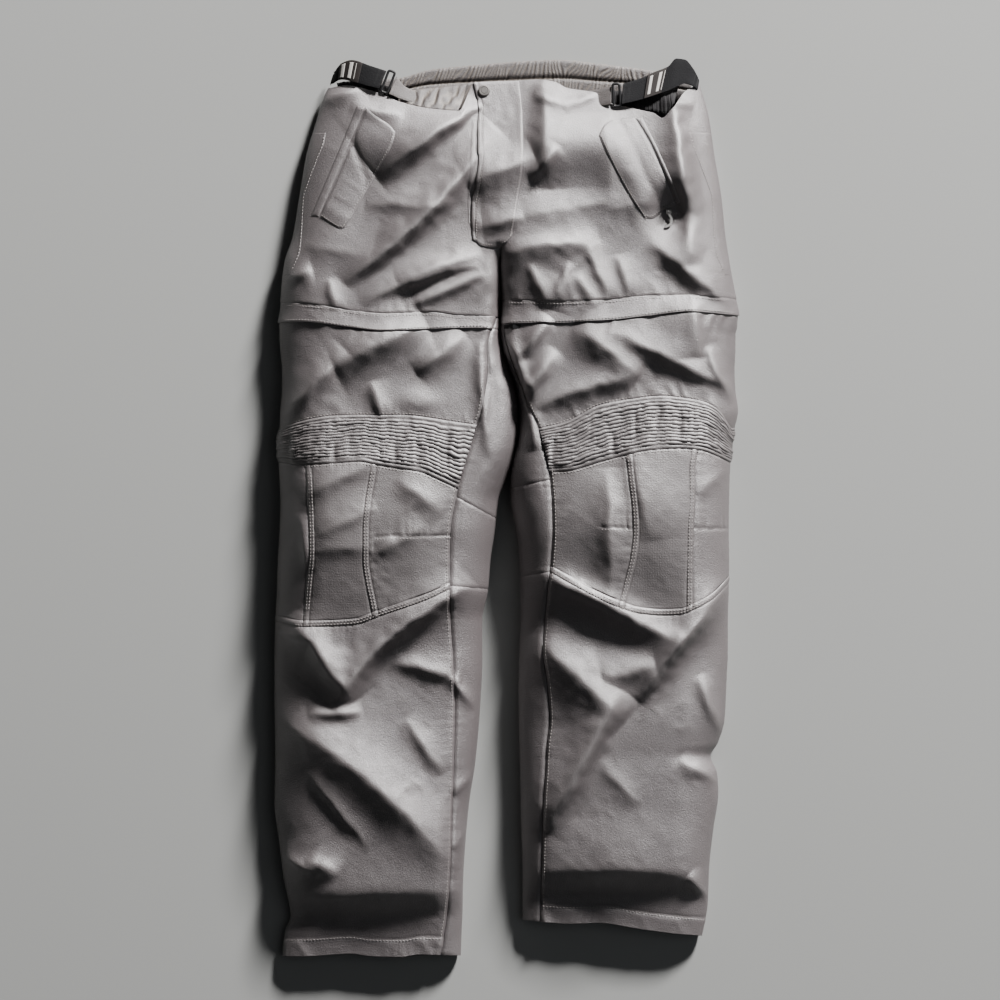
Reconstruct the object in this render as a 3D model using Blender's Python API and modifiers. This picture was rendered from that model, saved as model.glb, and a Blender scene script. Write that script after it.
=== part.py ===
"""Motorcycle trousers laid flat, front up, waist towards +Y, lying on the plane z = 0.

Every cloth piece is a wall cut out of one form: a tube for each leg, flat underneath, rounded at its sides and
domed on top. Sizes are in millimetres until a mesh is written. Two measures place a point: its drop, down from the
topmost point of the waist, and its reach s round the tube, from the outer edge over the front (positive) or under
the back (negative). "right" and "left" are the wearer's.
"""

import collections
import math

import bmesh
import bpy
import numpy as np
from mathutils import Vector

MM = 0.001
TOP = 542.0
CENTRE_FRONT = -9.0
CLOTH = 1.8
SEAM = 0.4
INSEAM_GAP = 0.7
OVERLAY_GAP = 1.0
HEM_DEPTH = 21.0
HEM_PLY = 1.2

SHOULDER = 0.86
BAND_RISE = 3.4
THIGH_TUCK = 6.0
LEAST_CORNER = 6.0
RIB_COUNT = 15
RIB_HEIGHT = 2.2
GATHER_COUNT = 40
GATHER_HEIGHT = 2.4
GATHER_SLANT = 7.0
ELASTIC_GATHERS = (7, 0.8)
STRIP_GATHERS = (5, 1.0)
FLAP_BULGE = 1.2
FLY_LEFT_RISE = 1.4
POCKET_WALL = 1.2

SNAP_PROFILE = ((0, 2.6), (3.6, 2.6), (4.2, 2.0), (5.0, 2.7), (6.2, 2.5), (7.2, 1.4), (7.2, 0.3), (6.6, 0),
                (0, 0))
WEBBING = 2.0
RING_WIRE = 1.6

# Each outline row is a drop, the outer edge, the inner edge and the front inseam, measured out from x = 0.
OUTLINE = ("drop", "outer", "inner", "inseam")
RIGHT_OUTLINE = (
    (26, 206, 9.0, 9), (44, 218, 9.0, 9), (78, 229, 9.0, 9), (120, 241, 9.0, 9), (168, 249, 9.0, 9),
    (216, 257, 9.0, 9), (248, 267, 9.0, 9.2), (282, 271, 9.2, 10), (306, 272, 9.6, 12), (324, 273, 9.8, 17),
    (336, 273, 9.2, 22), (354, 272, 6.6, 25), (378, 270, -1.2, 24), (402, 270, -9.4, 27), (426, 272, -12.4, 31),
    (447, 273, -12.6, 38), (468, 274, -10.2, 44), (486, 274, -5.4, 50), (510, 273, 4.0, 57), (534, 272, 12.5, 62),
    (570, 273, 16.5, 68), (606, 275, 22, 69), (642, 276, 25, 69), (678, 278, 32, 68), (726, 279, 32, 65),
    (774, 279, 34, 63), (846, 278, 40, 64), (900, 279, 48, 66), (942, 274, 52, 67), (990, 268, 55, 69),
    (1036, 260, 56, 73), (1056, 267, 57, 76), (1086, 269.5, 58, 81),
)
LEFT_OUTLINE = (
    (26, 228, -8.4, -8), (72, 241, -8.4, -8), (120, 248, -8.4, -8), (168, 256, -8.4, -8), (216, 261, -8.4, -8),
    (248, 266, -8.4, -7.6), (282, 272, -8.4, -7), (306, 276, -8.6, -6), (324, 275, -8.8, -5),
    (336, 273, -8.2, -3.5), (354, 273, -5.6, 1), (378, 272, 2.2, 9), (402, 273, 10.4, 18), (426, 276, 13.4, 27),
    (447, 272, 13.6, 37), (468, 267, 11.2, 43), (486, 267, 6.6, 48), (510, 266, 4.6, 51), (534, 265.5, 5.6, 53),
    (570, 265, 11.5, 54), (606, 265.5, 16, 52), (642, 265, 17.4, 48), (684, 264, 17.4, 44), (714, 264, 16.4, 42),
    (750, 262.5, 15, 47), (798, 260, 15.6, 50), (826, 252, 16, 47), (842, 243, 16.5, 46), (864, 251, 17, 45),
    (886, 252.5, 17.5, 43.5), (930, 246.6, 18.5, 42), (978, 241.5, 20, 41), (1020, 240, 20, 40),
    (1060, 232.5, 20, 40),
)
# How high the front stands, how high the outermost point of the side is, and how wide the side rounds over.
SECTION = ("drop", "height", "edge", "roll_out", "roll_in")
SECTIONS = (
    (26, 20, 8, 34, 10), (60, 27, 9, 40, 12), (120, 38, 11, 50, 12), (216, 46, 13, 56, 14), (306, 52, 14, 58, 16),
    (378, 52, 14, 58, 20), (447, 56, 14, 58, 26), (500, 60, 14, 58, 34), (560, 63, 14, 58, 42),
    (640, 58, 14, 58, 42), (720, 48, 13, 56, 40), (840, 46, 13, 54, 40), (950, 44, 12, 52, 38),
    (1000, 38, 11, 46, 34), (1036, 25, 9, 38, 28), (1086, 20, 8, 34, 26),
)
INNER_ROLL = ((0, 0), (238, 0), (258, 0.25), (306, 0.92), (330, 1), (1100, 1))

# Seams across the front: x, drop.
RIGHT_WAIST = ((-212, 38), (-196, 36), (-172, 40), (-150, 47), (-130, 56), (-92, 65), (-58, 68), (-46, 42),
               (-41, 33), (-9, 31))
LEFT_WAIST = ((-9, 31), (33, 29), (57, 32), (70, 39), (105, 45), (126, 58), (160, 66), (176, 70), (186, 76),
              (198, 64), (214, 42), (230, 33))
BAND_TOP = {
    "right": ((-272, 297), (-240, 299), (-146, 311), (-94, 309), (-56, 313), (-9, 314)),
    "left": ((-9, 294), (63, 296), (106, 295), (182, 289), (220, 289), (276, 293)),
}
BAND_FOOT = {
    "right": ((-272, 321), (-247, 321), (-189, 328), (-150, 333), (-94, 330), (-36, 328), (-17, 329)),
    "left": ((-6, 323), (68, 322), (126, 319), (169, 314), (220, 309), (275, 312)),
}
STRETCH_TOP = {
    "right": ((-271, 450), (-261, 445), (-237, 438), (-210, 434), (-177, 433), (-129, 433), (-57, 442),
              (-36, 445)),
    "left": ((38, 449), (68, 442), (111, 421), (147, 414), (183, 410), (207, 412), (231, 416), (249, 424),
             (267, 448)),
}
STRETCH_FOOT = {
    "right": ((-271, 488), (-249, 491), (-213, 490), (-177, 488), (-153, 492), (-129, 496), (-105, 500),
              (-81, 510), (-60, 520)),
    "left": ((52, 500), (75, 498), (111, 488), (141, 480), (171, 474), (207, 472), (231, 474), (249, 480),
             (267, 488)),
}
KNEE_FOOT = {
    "right": ((-276, 680), (-245, 686), (-213, 685), (-183, 683), (-153, 673), (-117, 661), (-93, 652),
              (-69, 640)),
    "left": ((51, 620), (75, 634), (105, 650), (132, 662), (159, 670), (183, 672), (207, 671), (221, 666),
             (243, 654), (266, 632)),
}
# Seams down the knee: drop, distance out from x = 0.
KNEE_OUTER_SEAM = {
    "right": ((485, 242), (522, 239), (594, 237), (642, 241), (678, 244), (690, 245)),
    "left": ((470, 228), (498, 224), (534, 224), (570, 222), (666, 221), (690, 221)),
}
KNEE_INNER_SEAM = {
    "right": ((485, 155), (510, 159), (534, 163), (570, 166), (606, 166), (630, 163), (654, 158), (680, 153)),
    "left": ((474, 141), (510, 145), (546, 149), (570, 150), (600, 147), (630, 140), (664, 132)),
}
GUSSET_TOP = {"right": ((-62, 530), (-15, 556)), "left": ((5, 520), (49, 510))}
GUSSET_FOOT = {"right": ((-67, 637), (-25, 641)), "left": ((17, 626), (51, 620))}
HEM = {
    "right": ((-270, 1084), (-237, 1083), (-189, 1080), (-165, 1083), (-129, 1084), (-105, 1081), (-58, 1083)),
    "left": ((20, 1040), (75, 1044), (111, 1043), (159, 1050), (195, 1055), (233, 1059)),
}

# Each crease is x and drop of its two ends, how far it bows, its half width, and its height or, below zero, depth.
FOLD = ("x0", "drop0", "x1", "drop1", "bow", "width", "height")
FOLDS = (
    (-47, 68, -129, 136, 5, 10, -6), (-131, 134, -129, 172, 0, 10, -4), (-45, 130, -165, 258, -10, 17, -8),
    (-27, 240, -159, 294, 6, 13, -5), (-171, 180, -81, 190, 4, 11, -2.5), (28, 26, 29, 146, 0, 11, -6),
    (174, 70, 184, 226, 6, 24, -4.5), (216, 60, 228, 260, 4, 20, 3.5), (81, 118, 84, 176, -6, 12, -3),
    (57, 228, 105, 248, 3, 10, -3), (114, 234, 120, 284, 0, 9, -2.5), (-129, 340, -249, 420, 8, 15, -7),
    (-81, 340, -147, 402, 4, 11, -4), (-123, 414, -69, 414, -6, 13, 3.5), (41, 330, 15, 362, 0, 10, -4),
    (141, 368, 45, 400, 4, 11, -5), (87, 338, 141, 368, -6, 10, -4), (135, 348, 255, 402, -5, 11, -4),
    (-231, 534, -171, 510, 0, 11, -3), (-262, 704, -195, 762, 6, 12, -5), (-76, 650, -189, 778, -10, 14, -6),
    (57, 640, 171, 732, -6, 13, -6), (258, 646, 173, 762, 6, 13, -6), (123, 792, 48, 954, -8, 13, 5),
    (63, 738, 60, 884, 0, 16, -5), (-249, 834, -93, 954, 8, 18, -8), (-225, 894, -177, 942, 0, 9, -3),
    (-262, 954, -228, 986, 4, 13, -4), (-129, 732, -67, 762, -6, 9, -3), (117, 856, 141, 888, 0, 9, -3),
    (20, 150, 60, 214, 6, 18, 3), (150, 130, 60, 190, 0, 24, 3), (-200, 250, -120, 240, 0, 22, 3),
    (120, 960, 200, 1010, 0, 20, -3), (-180, 1000, -110, 1012, 0, 22, -3),
)
SWELL = ("x", "drop", "half_x", "half_drop", "height")
SWELLS = (
    (-205, 590, 62, 92, 6), (-112, 590, 44, 70, 4), (186, 576, 44, 92, 7), (92, 572, 44, 62, 4),
    (-208, 820, 55, 60, 4), (170, 830, 60, 70, 4), (-120, 900, 40, 70, 3), (-70, 200, 36, 60, 4),
)

# The hand pockets: the four edges of each flap and of the welt beside it, as x, drop.
FLAPS = {
    "right": {
        "top": ((-169, 64), (-158, 73), (-140, 86), (-134, 94)),
        "foot": ((-224, 195), (-209, 205), (-201, 209), (-195, 208)),
        "left": ((-169, 64), (-224, 195)),
        "right": ((-134, 94), (-137, 107), (-153, 136), (-195, 208)),
    },
    "left": {
        "top": ((109, 98), (117, 84), (135, 77), (152, 76)),
        "foot": ((163, 196), (171, 197), (187, 187), (202, 179)),
        "left": ((109, 98), (117, 116), (147, 172), (163, 196)),
        "right": ((152, 76), (171, 108), (202, 179)),
    },
}
WELTS = {
    "right": {
        "top": ((-180, 61), (-171, 63)),
        "foot": ((-235, 193), (-226, 194.5)),
        "left": ((-180, 61), (-235, 193)),
        "right": ((-171, 63), (-226, 194.5)),
    },
    "left": {
        "top": ((154, 76), (162, 76)),
        "foot": ((204, 178), (208, 176)),
        "left": ((154, 76), (173, 108), (204, 178)),
        "right": ((162, 76), (177, 106), (208, 176)),
    },
}
SIDE_POCKET = {"top": 93, "foot": 264}
SIDE_POCKET_EDGE = ((82, 217), (102, 219), (126, 228), (152, 238), (170, 244), (210, 246), (234, 248), (264, 260))

FLY = {
    "top": ((-41, 32), (-9, 30.5), (15, 30)),
    "foot": ((-42, 222), (-30, 230), (-16, 232), (-3, 228), (6, 218)),
    "left": ((-41, 32), (-36, 60), (-35.5, 130), (-38, 155), (-43, 180), (-42, 222)),
    "right": ((15, 30), (19, 70), (19.5, 115), (18, 140), (14, 165), (6, 218)),
}
UNDERLAP = {
    "top": ((-44, 74), (-37, 74)),
    "foot": ((-47, 206), (-44, 206)),
    "left": ((-44, 74), (-47, 132), (-49, 172), (-47, 206)),
    "right": ((-37, 74), (-37, 130), (-44.5, 178), (-44, 206)),
}

# The casing at the back of the waist: its top edge as x, drop, and each row's share of its depth, its height and
# the share of the gathers' height that it takes.
CASING_TOP = ((-204, 34), (-170, 31), (-130, 28), (-93, 18), (-45, 13), (15, 8), (63, 6), (111, 11), (159, 17),
              (190, 22), (222, 30))
CASING_FOOT = 61.4
CASING_ROWS = ((0.0, 2.4, 0.5), (0.14, 4.4, 1.0), (0.30, 4.2, 1.0), (0.40, 2.6, 0.4), (0.7, 3.6, 0.8),
               (1.0, 2.4, 0.3))
GATHERED_SPAN = (-136.0, 176.0)

# What shows of the front of the waist beside the fly: a gathered strip, and black elastic under each strap.
WAIST_STRIP = {
    "top": ((-129, 43), (-100, 38), (-75, 35), (-49, 33)),
    "foot": ((-129, 55.4), (-92, 64.3), (-60, 67.2)),
    "left": ((-129, 43), (-129, 55.4)),
    "right": ((-49, 33), (-52, 46), (-60, 67.2)),
}
SIDE_ELASTIC = {
    "right": {
        "top": ((-207, 30), (-180, 28), (-155, 32), (-131, 41)),
        "foot": ((-205, 35.5), (-172, 38.5), (-150, 45.5), (-131, 54)),
        "left": ((-207, 30), (-205, 35.5)),
        "right": ((-131, 41), (-131, 54)),
    },
    "left": {
        "top": ((108, 38), (150, 42), (180, 40), (206, 36)),
        "foot": ((108, 44), (126, 56), (160, 64), (176, 67), (186, 71), (202, 54)),
        "left": ((108, 38), (108, 44)),
        "right": ((206, 36), (202, 54)),
    },
}

# Straps at the waist, from the ring round to the side: their two long edges, as x, drop, height above the front.
STRAP_EDGES = {
    "right": (
        ((-145.5, 18.5, 9), (-165, 12, 9), (-187, 5, 7), (-199, 9, 5), (-208, 20, 0.9)),
        ((-154, 40, 10), (-170, 36, 9), (-183, 32, 8), (-200, 28, 5), (-213, 34, 0.9)),
    ),
    "left": (
        ((139, 34, 9), (159, 28, 10), (177, 20, 10), (193, 13, 9), (203, 3, 7), (213, 4, 5), (221, 12, 4),
         (230, 28, 1)),
        ((137, 59, 10), (159, 54, 10), (183, 46, 10), (196, 41, 9), (205, 36, 7), (213, 33, 5), (221, 35, 4),
         (228, 40, 1)),
    ),
}
LABEL_SPAN = {"right": (0.42, 0.80), "left": (0.28, 0.50)}
# Each ring: x, drop, height above the front, and the turn of its long side from +X.
RING_PLACE = {"right": (-143.6, 31.4, 10.5, 69), "left": (131.0, 47.5, 11, 93)}
RING_SIZE = (8.0, 27.0)
RING_CORNER = 2.2
RING_CORNER_STEPS = 3
TAB_EDGES = {
    "right": (((-112, 43, 0.8), (-124, 37, 5), (-133.8, 24.8, 9)),
              ((-108, 58, 0.8), (-124, 54, 5), (-142.8, 46.3, 9))),
    "left": (((85, 44, 0.7), (105, 41, 4), (125.0, 37, 9)), ((90, 60, 0.7), (108, 61, 4), (124.8, 59, 9))),
}
ZIP_OFF_END = {
    "top": ((-2, 323.6), (16, 323.6)),
    "foot": ((-2, 328.6), (16, 328.2)),
    "left": ((-2, 323.6), (-2, 328.6)),
    "right": ((16, 323.6), (16, 328.2)),
}
SNAP_PLACE = (-28.0, 43.0)

PULL_PIVOT = (193.5, 188.0)
PULL_ARM = ((0, 0), (0.4, -3.5), (3.2, -8.5), (3.0, -13.0), (-0.6, -17.0), (-4.5, -18.5))
PULL_WIDTH = 2.6
PULL_THICKNESS = 1.4
PIN_RADIUS = 0.7
EYE_BORE = 1.05
EYE_RADIUS = 2.0
EYE_LENGTH = 2.4
SLIDER_SIZE = (6.4, 6.6, 2.4)
SLIDER_RISE = 2.0
SLIDER_BEVEL = 0.6
EAR_SIZE = (1.4, 3.2)
EAR_OFFSET = 2.3
EAR_OVER_PIN = 1.2
PIN_LENGTH = 5.2
EYE_CLEARANCE = 0.4
SNAP_LIFT = 4.6

# Each finish is a colour, a roughness and how metallic it is.
FINISHES = {
    "shell_cloth": ((0.085, 0.078, 0.080), 0.52, 0.0),
    "knee_cloth": ((0.070, 0.064, 0.066), 0.60, 0.0),
    "stretch_cloth": ((0.045, 0.042, 0.043), 0.62, 0.0),
    "elastic": ((0.020, 0.019, 0.020), 0.75, 0.0),
    "webbing": ((0.016, 0.016, 0.018), 0.70, 0.0),
    "label": ((0.050, 0.046, 0.045), 0.45, 0.0),
    "ring_plastic": ((0.030, 0.030, 0.032), 0.32, 0.0),
    "snap_metal": ((0.16, 0.155, 0.15), 0.34, 1.0),
    "zip_metal": ((0.62, 0.61, 0.60), 0.25, 1.0),
    "zip_black": ((0.014, 0.014, 0.015), 0.45, 0.0),
}


def smooth(rows, x, column=1):
    """Values on a curve with no overshoot through the rows, read at x."""
    xs = np.array([row[0] for row in rows], float)
    ys = np.array([row[column] for row in rows], float)
    gaps = np.diff(xs)
    slopes = np.diff(ys) / gaps
    product = slopes[:-1] * slopes[1:]
    total = slopes[:-1] + slopes[1:]
    middle = np.where(product > 0, 2 * product / np.where(total == 0, 1, total), 0)
    tangents = np.concatenate([slopes[:1], middle, slopes[-1:]])
    x = np.clip(x, xs[0], xs[-1])
    i = np.clip(np.searchsorted(xs, x, side="right") - 1, 0, len(gaps) - 1)
    t = (x - xs[i]) / gaps[i]
    rise = (3 - 2 * t) * t * t
    lead = t * (1 - t) ** 2 * gaps[i]
    trail = t * t * (t - 1) * gaps[i]
    return ys[i] * (1 - rise) + ys[i + 1] * rise + tangents[i] * lead + tangents[i + 1] * trail


def along(points, t):
    """Points at shares t of the way along a smooth curve through a short list of points."""
    points = np.array(points, float)
    steps = np.linalg.norm(np.diff(points, axis=0), axis=1)
    way = np.concatenate([[0], np.cumsum(steps)]) / steps.sum()
    columns = [smooth(np.column_stack([way, points[:, k]]), t) for k in range(points.shape[1])]
    return np.stack(columns, axis=-1)


def crease_height(x, drop):
    """How far the creases and swellings raise the front there."""
    total = np.zeros(np.broadcast(x, drop).shape)
    for row in FOLDS:
        fold = dict(zip(FOLD, row))
        run = np.array([fold["x1"] - fold["x0"], fold["drop1"] - fold["drop0"]], float)
        length = np.hypot(*run)
        dx, dy = x - fold["x0"], drop - fold["drop0"]
        share = (dx * run[0] + dy * run[1]) / length**2
        away = (dx * run[1] - dy * run[0]) / length - fold["bow"] * 4 * share * (1 - share)
        ends = np.clip(1 - np.abs(2 * share - 1) ** 3, 0, 1)
        total = total + fold["height"] * np.exp(-((away / fold["width"]) ** 2)) * ends
    for row in SWELLS:
        swell = dict(zip(SWELL, row))
        across = (x - swell["x"]) / swell["half_x"]
        down = (drop - swell["drop"]) / swell["half_drop"]
        total = total + swell["height"] * np.exp(-(across**2) - down**2)
    return total


# A section's outer and inner edge, how far the inner side is rounded, the four radii of its sides, its width and
# the lengths of its front and its back.
Shape = collections.namedtuple("Shape", "outer inner turn roll_out roll_in edge edge_in width front back")


class Leg:
    """One side of the trousers, from the waist to the hem."""

    def __init__(self, name, sign, outline, short_by):
        self.name = name
        self.sign = sign
        self.outline = outline
        self.short_by = short_by

    def edge_at(self, column, drop):
        return smooth(self.outline, drop, OUTLINE.index(column))

    def section_at(self, column, drop):
        lower = np.clip((np.asarray(drop, float) - 600) / 400, 0, 1)
        return smooth(SECTIONS, drop + self.short_by * lower, SECTION.index(column))

    def shape(self, drop):
        """The sizes of the section at that drop."""
        outer, inner = self.edge_at("outer", drop), self.edge_at("inner", drop)
        turn = smooth(INNER_ROLL, drop)
        roll_out = self.section_at("roll_out", drop)
        roll_in = np.maximum(self.section_at("roll_in", drop) * turn, 0.05)
        edge = self.section_at("edge", drop)
        edge_in = np.maximum(edge * turn, 0.05)
        width = outer - inner
        front = width + (roll_out + roll_in) * (math.pi / 2 - 1)
        back = width + (edge + edge_in) * (math.pi / 2 - 1)
        return Shape(outer, inner, turn, roll_out, roll_in, edge, edge_in, width, front, back)

    def front(self, drop, s):
        shape = self.shape(drop)
        lean_out = np.clip(s / shape.roll_out, 0, math.pi / 2)
        lean_in = np.clip((shape.front - s) / shape.roll_in, 0, math.pi / 2)
        depth = shape.roll_out + s - shape.roll_out * math.pi / 2
        depth = np.where(lean_out < math.pi / 2, shape.roll_out * (1 - np.cos(lean_out)), depth)
        depth = np.where(lean_in < math.pi / 2, shape.width - shape.roll_in * (1 - np.cos(lean_in)), depth)
        x = self.sign * (shape.outer - depth)
        share = np.clip(depth / shape.width, 0, 1)
        dome = SHOULDER + (1 - SHOULDER) * np.sin(math.pi * share * (1 + shape.turn) / 2)
        fade = np.sin(lean_out) * (1 - shape.turn * (1 - np.sin(lean_in)))
        rise = self.section_at("height", drop) * dome - shape.edge + crease_height(x, drop)
        return x, shape.edge + rise * fade

    def back(self, drop, s):
        shape = self.shape(drop)
        lean_out = np.clip(s / shape.edge, 0, math.pi / 2)
        lean_in = np.clip((shape.back - s) / shape.edge_in, 0, math.pi / 2)
        x = shape.outer - shape.edge - (s - shape.edge * math.pi / 2)
        x = np.where(lean_out < math.pi / 2, shape.outer - shape.edge * (1 - np.cos(lean_out)), x)
        x = np.where(lean_in < math.pi / 2, shape.inner + shape.edge_in * (1 - np.cos(lean_in)), x)
        z = np.maximum(shape.edge * (1 - np.sin(lean_out)), shape.edge_in * (1 - np.sin(lean_in)))
        return self.sign * x, z

    def point(self, drop, s):
        """Points of the outer face, as an array whose last axis is x, y, z."""
        drop, s = np.broadcast_arrays(np.asarray(drop, float), np.asarray(s, float))
        shape = self.shape(drop)
        over = np.where(s < -shape.back, shape.front + shape.back + s, s)
        x_front, z_front = self.front(drop, np.maximum(over, 0))
        x_back, z_back = self.back(drop, np.maximum(-s, 0))
        under = (s < 0) & (s >= -shape.back)
        x, z = np.where(under, x_back, x_front), np.where(under, z_back, z_front)
        return np.stack([x, TOP - drop, z], axis=-1)

    def normal(self, drop, s, step=0.6):
        back_length = self.shape(drop).back
        at_end = (s >= -back_length) & (s - step < -back_length)
        round_it = self.point(drop, s + step) - self.point(drop, np.where(at_end, s, s - step))
        down_it = self.point(drop + step, s) - self.point(drop - step, s)
        out = self.sign * np.cross(round_it, down_it)
        return out / np.linalg.norm(out, axis=-1, keepdims=True)

    def reach_of(self, x, drop):
        """The reach s of the front point at that x."""
        shape = self.shape(drop)
        depth = np.clip(shape.outer - self.sign * x, 0, shape.width)
        s = depth + shape.roll_out * (math.pi / 2 - 1)
        lean = np.arccos(np.clip(1 - depth / shape.roll_out, -1, 1))
        s = np.where(depth < shape.roll_out, shape.roll_out * lean, s)
        left = shape.width - depth
        lean = np.arccos(np.clip(1 - left / shape.roll_in, -1, 1))
        return np.where(left < shape.roll_in, shape.front - shape.roll_in * lean, s)

    def inseam(self, drop):
        return self.reach_of(self.sign * self.edge_at("inseam", drop), drop)

    def inner_edge(self, drop):
        return self.shape(drop).front

    def seam(self, rows):
        """A seam down the front, given as rows of drop and distance out."""
        return lambda drop: self.reach_of(self.sign * smooth(rows, drop), drop)


LEGS = (Leg("right", -1, RIGHT_OUTLINE, 0), Leg("left", 1, LEFT_OUTLINE, 24))


def front_frame(x, drop):
    """Points and outward directions of the front at places given by x and drop, on either side."""
    points, normals = [], []
    for leg in LEGS:
        s = leg.reach_of(x, drop)
        points.append(leg.point(drop, s))
        normals.append(leg.normal(drop, s))
    is_left = (x > CENTRE_FRONT)[..., None]
    return np.where(is_left, points[1], points[0]), np.where(is_left, normals[1], normals[0])


def spread(first, last, count):
    """Columns evenly between two seams, with the seam gap left at both ends."""

    def column(share):
        return lambda drop: (first(drop) + SEAM / 2) * (1 - share) + (last(drop) - SEAM / 2) * share

    return [column(k / count) for k in range(count + 1)]


def under_columns(leg, flat_count, strip_count, corner_count=2):
    """Columns of a back piece: round the outer side, under, and up the inner side to the inseam."""

    def outer_corner(share):
        return lambda drop: -SEAM / 2 - share * (leg.section_at("edge", drop) * math.pi / 2)

    def flat(share):
        def reach(drop):
            shape = leg.shape(drop)
            return -(shape.edge * math.pi / 2 + share * (shape.width - shape.edge - shape.edge_in))

        return reach

    def inner_corner(share):
        def reach(drop):
            shape = leg.shape(drop)
            return -(shape.back - (1 - share) * shape.edge_in * math.pi / 2)

        return reach

    def corner_start(drop):
        shape = leg.shape(drop)
        return -(shape.back - np.maximum(shape.edge_in * math.pi / 2, LEAST_CORNER))

    def strip(share):
        def reach(drop):
            shape = leg.shape(drop)
            return -(shape.back + share * (shape.front - leg.inseam(drop) - INSEAM_GAP))

        return reach

    columns = [outer_corner(k / corner_count) for k in range(corner_count)]
    columns += [flat(k / flat_count) for k in range(flat_count)]
    if strip_count == 0:
        return columns + [corner_start, lambda drop: -(leg.shape(drop).back - SEAM / 2)]
    columns += [inner_corner(k / corner_count) for k in range(corner_count)]
    return columns + [strip(k / strip_count) for k in range(strip_count + 1)]


def lay_grid(leg, columns, top, foot, rows):
    """Drops and reaches of a piece between two cross seams, each a function of x."""
    share = np.linspace(0, 1, rows + 1)[:, None]
    drop = np.full((rows + 1, len(columns)), 0.0)
    drop += top(np.zeros(1)) * (1 - share) + foot(np.zeros(1)) * share
    for _ in range(24):
        s = np.stack([column(drop[:, k]) for k, column in enumerate(columns)], axis=1)
        x = leg.point(drop, s)[..., 0]
        target = (top(x) + SEAM / 2) * (1 - share) + (foot(x) - SEAM / 2) * share
        drop = 0.3 * drop + 0.7 * target
    return drop, s


def line_of(rows):
    return lambda x: smooth(rows, x)


def level(value):
    return lambda x: np.full(np.shape(x), float(value))


def cloth_material(name):
    colour, roughness, metallic = FINISHES[name]
    material = bpy.data.materials.get(name) or bpy.data.materials.new(name)
    material.use_nodes = True
    shader = material.node_tree.nodes["Principled BSDF"]
    shader.inputs["Base Color"].default_value = (*colour, 1)
    shader.inputs["Roughness"].default_value = roughness
    shader.inputs["Metallic"].default_value = metallic
    material.diffuse_color = (*colour, 1)
    return material


def add_object(name, mesh, finish):
    mesh.materials.append(cloth_material(finish))
    obj = bpy.data.objects.new(name, mesh)
    bpy.data.collections["motorcycle_trousers"].objects.link(obj)
    return obj


def grid_faces(shell, points, flip):
    """The vertices of a grid of points, joined by one quad for each cell."""
    grid = [[shell.verts.new(Vector(p) * MM) for p in row] for row in points]
    for upper, lower in zip(grid, grid[1:]):
        for a, b, c, d in zip(upper, lower, lower[1:], upper[1:]):
            shell.faces.new([d, c, b, a] if flip else [a, b, c, d])
    return grid


def rim_faces(shell, fine, coarse, step):
    """A strip between an edge of the outer face and one of the inner face that has fewer points."""
    for k in range(len(coarse) - 1):
        shell.faces.new(fine[k * step : (k + 1) * step + 1] + [coarse[k + 1], coarse[k]])


def loft_wall(name, outer, inner, finish, row_step=1, column_step=1):
    """A closed wall between two grids of points. The inner face may keep only every few rows or columns."""
    mesh = bpy.data.meshes.new(name)
    shell = bmesh.new()
    face = grid_faces(shell, outer, False)
    plain = grid_faces(shell, inner[::row_step, ::column_step], True)
    for end in (0, -1):
        rim_faces(shell, face[end], plain[end], column_step)
        rim_faces(shell, [row[end] for row in face], [row[end] for row in plain], row_step)
    bmesh.ops.recalc_face_normals(shell, faces=shell.faces)
    shell.to_mesh(mesh)
    shell.free()
    mesh.shade_smooth()
    mesh.set_sharp_from_angle(angle=math.radians(40))
    return add_object(name, mesh, finish)


def cut_piece(name, leg, columns, top, foot, rows, finish, raise_by=None, lift=None, wall=CLOTH, row_step=1):
    """A cloth piece on the form. raise_by lifts its outer face alone and lift the whole wall."""
    drop, s = lay_grid(leg, columns, top, foot, rows)
    points, out = leg.point(drop, s), leg.normal(drop, s)
    down = np.linspace(0, 1, rows + 1)[:, None] * np.ones((1, len(columns)))
    base = points + out * (lift(down) if lift else 0 * down)[..., None]
    raised = raise_by(points[..., 0], drop, down) if raise_by else 0 * down
    return loft_wall(name, base + out * raised[..., None], base - out * wall, finish, row_step)


def patch_grid(edges, across, down):
    """A grid between four edges, each a short list of points. top and foot run left to right."""
    u, v = np.linspace(0, 1, across + 1), np.linspace(0, 1, down + 1)
    top, foot = along(edges["top"], u), along(edges["foot"], u)
    left, right = along(edges["left"], v), along(edges["right"], v)
    u, v = u[None, :, None], v[:, None, None]
    sides = left[:, None] * (1 - u) + right[:, None] * u
    ends = top[None] * (1 - v) + foot[None] * v
    corners = (top[0] * (1 - u) + top[-1] * u) * (1 - v) + (foot[0] * (1 - u) + foot[-1] * u) * v
    return sides + ends - corners


def overlay(name, edges, across, down, finish, gap=OVERLAY_GAP, wall=CLOTH, lift=None):
    """A piece that lies on the front: the form's own points under it, moved out."""
    grid = patch_grid(edges, across, down)
    points, out = front_frame(grid[..., 0], grid[..., 1])
    u = np.linspace(0, 1, across + 1)[None, :] * np.ones((down + 1, 1))
    v = np.linspace(0, 1, down + 1)[:, None] * np.ones((1, across + 1))
    rise = (gap + (lift(u, v) if lift else 0 * u))[..., None]
    return loft_wall(name, points + out * (rise + wall), points + out * rise, finish)


def above_front(places):
    """Points given as x, drop and a height above the front."""
    points, _ = front_frame(places[..., 0], places[..., 1])
    return np.stack([places[..., 0], TOP - places[..., 1], points[..., 2] + places[..., 2]], axis=-1)


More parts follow.
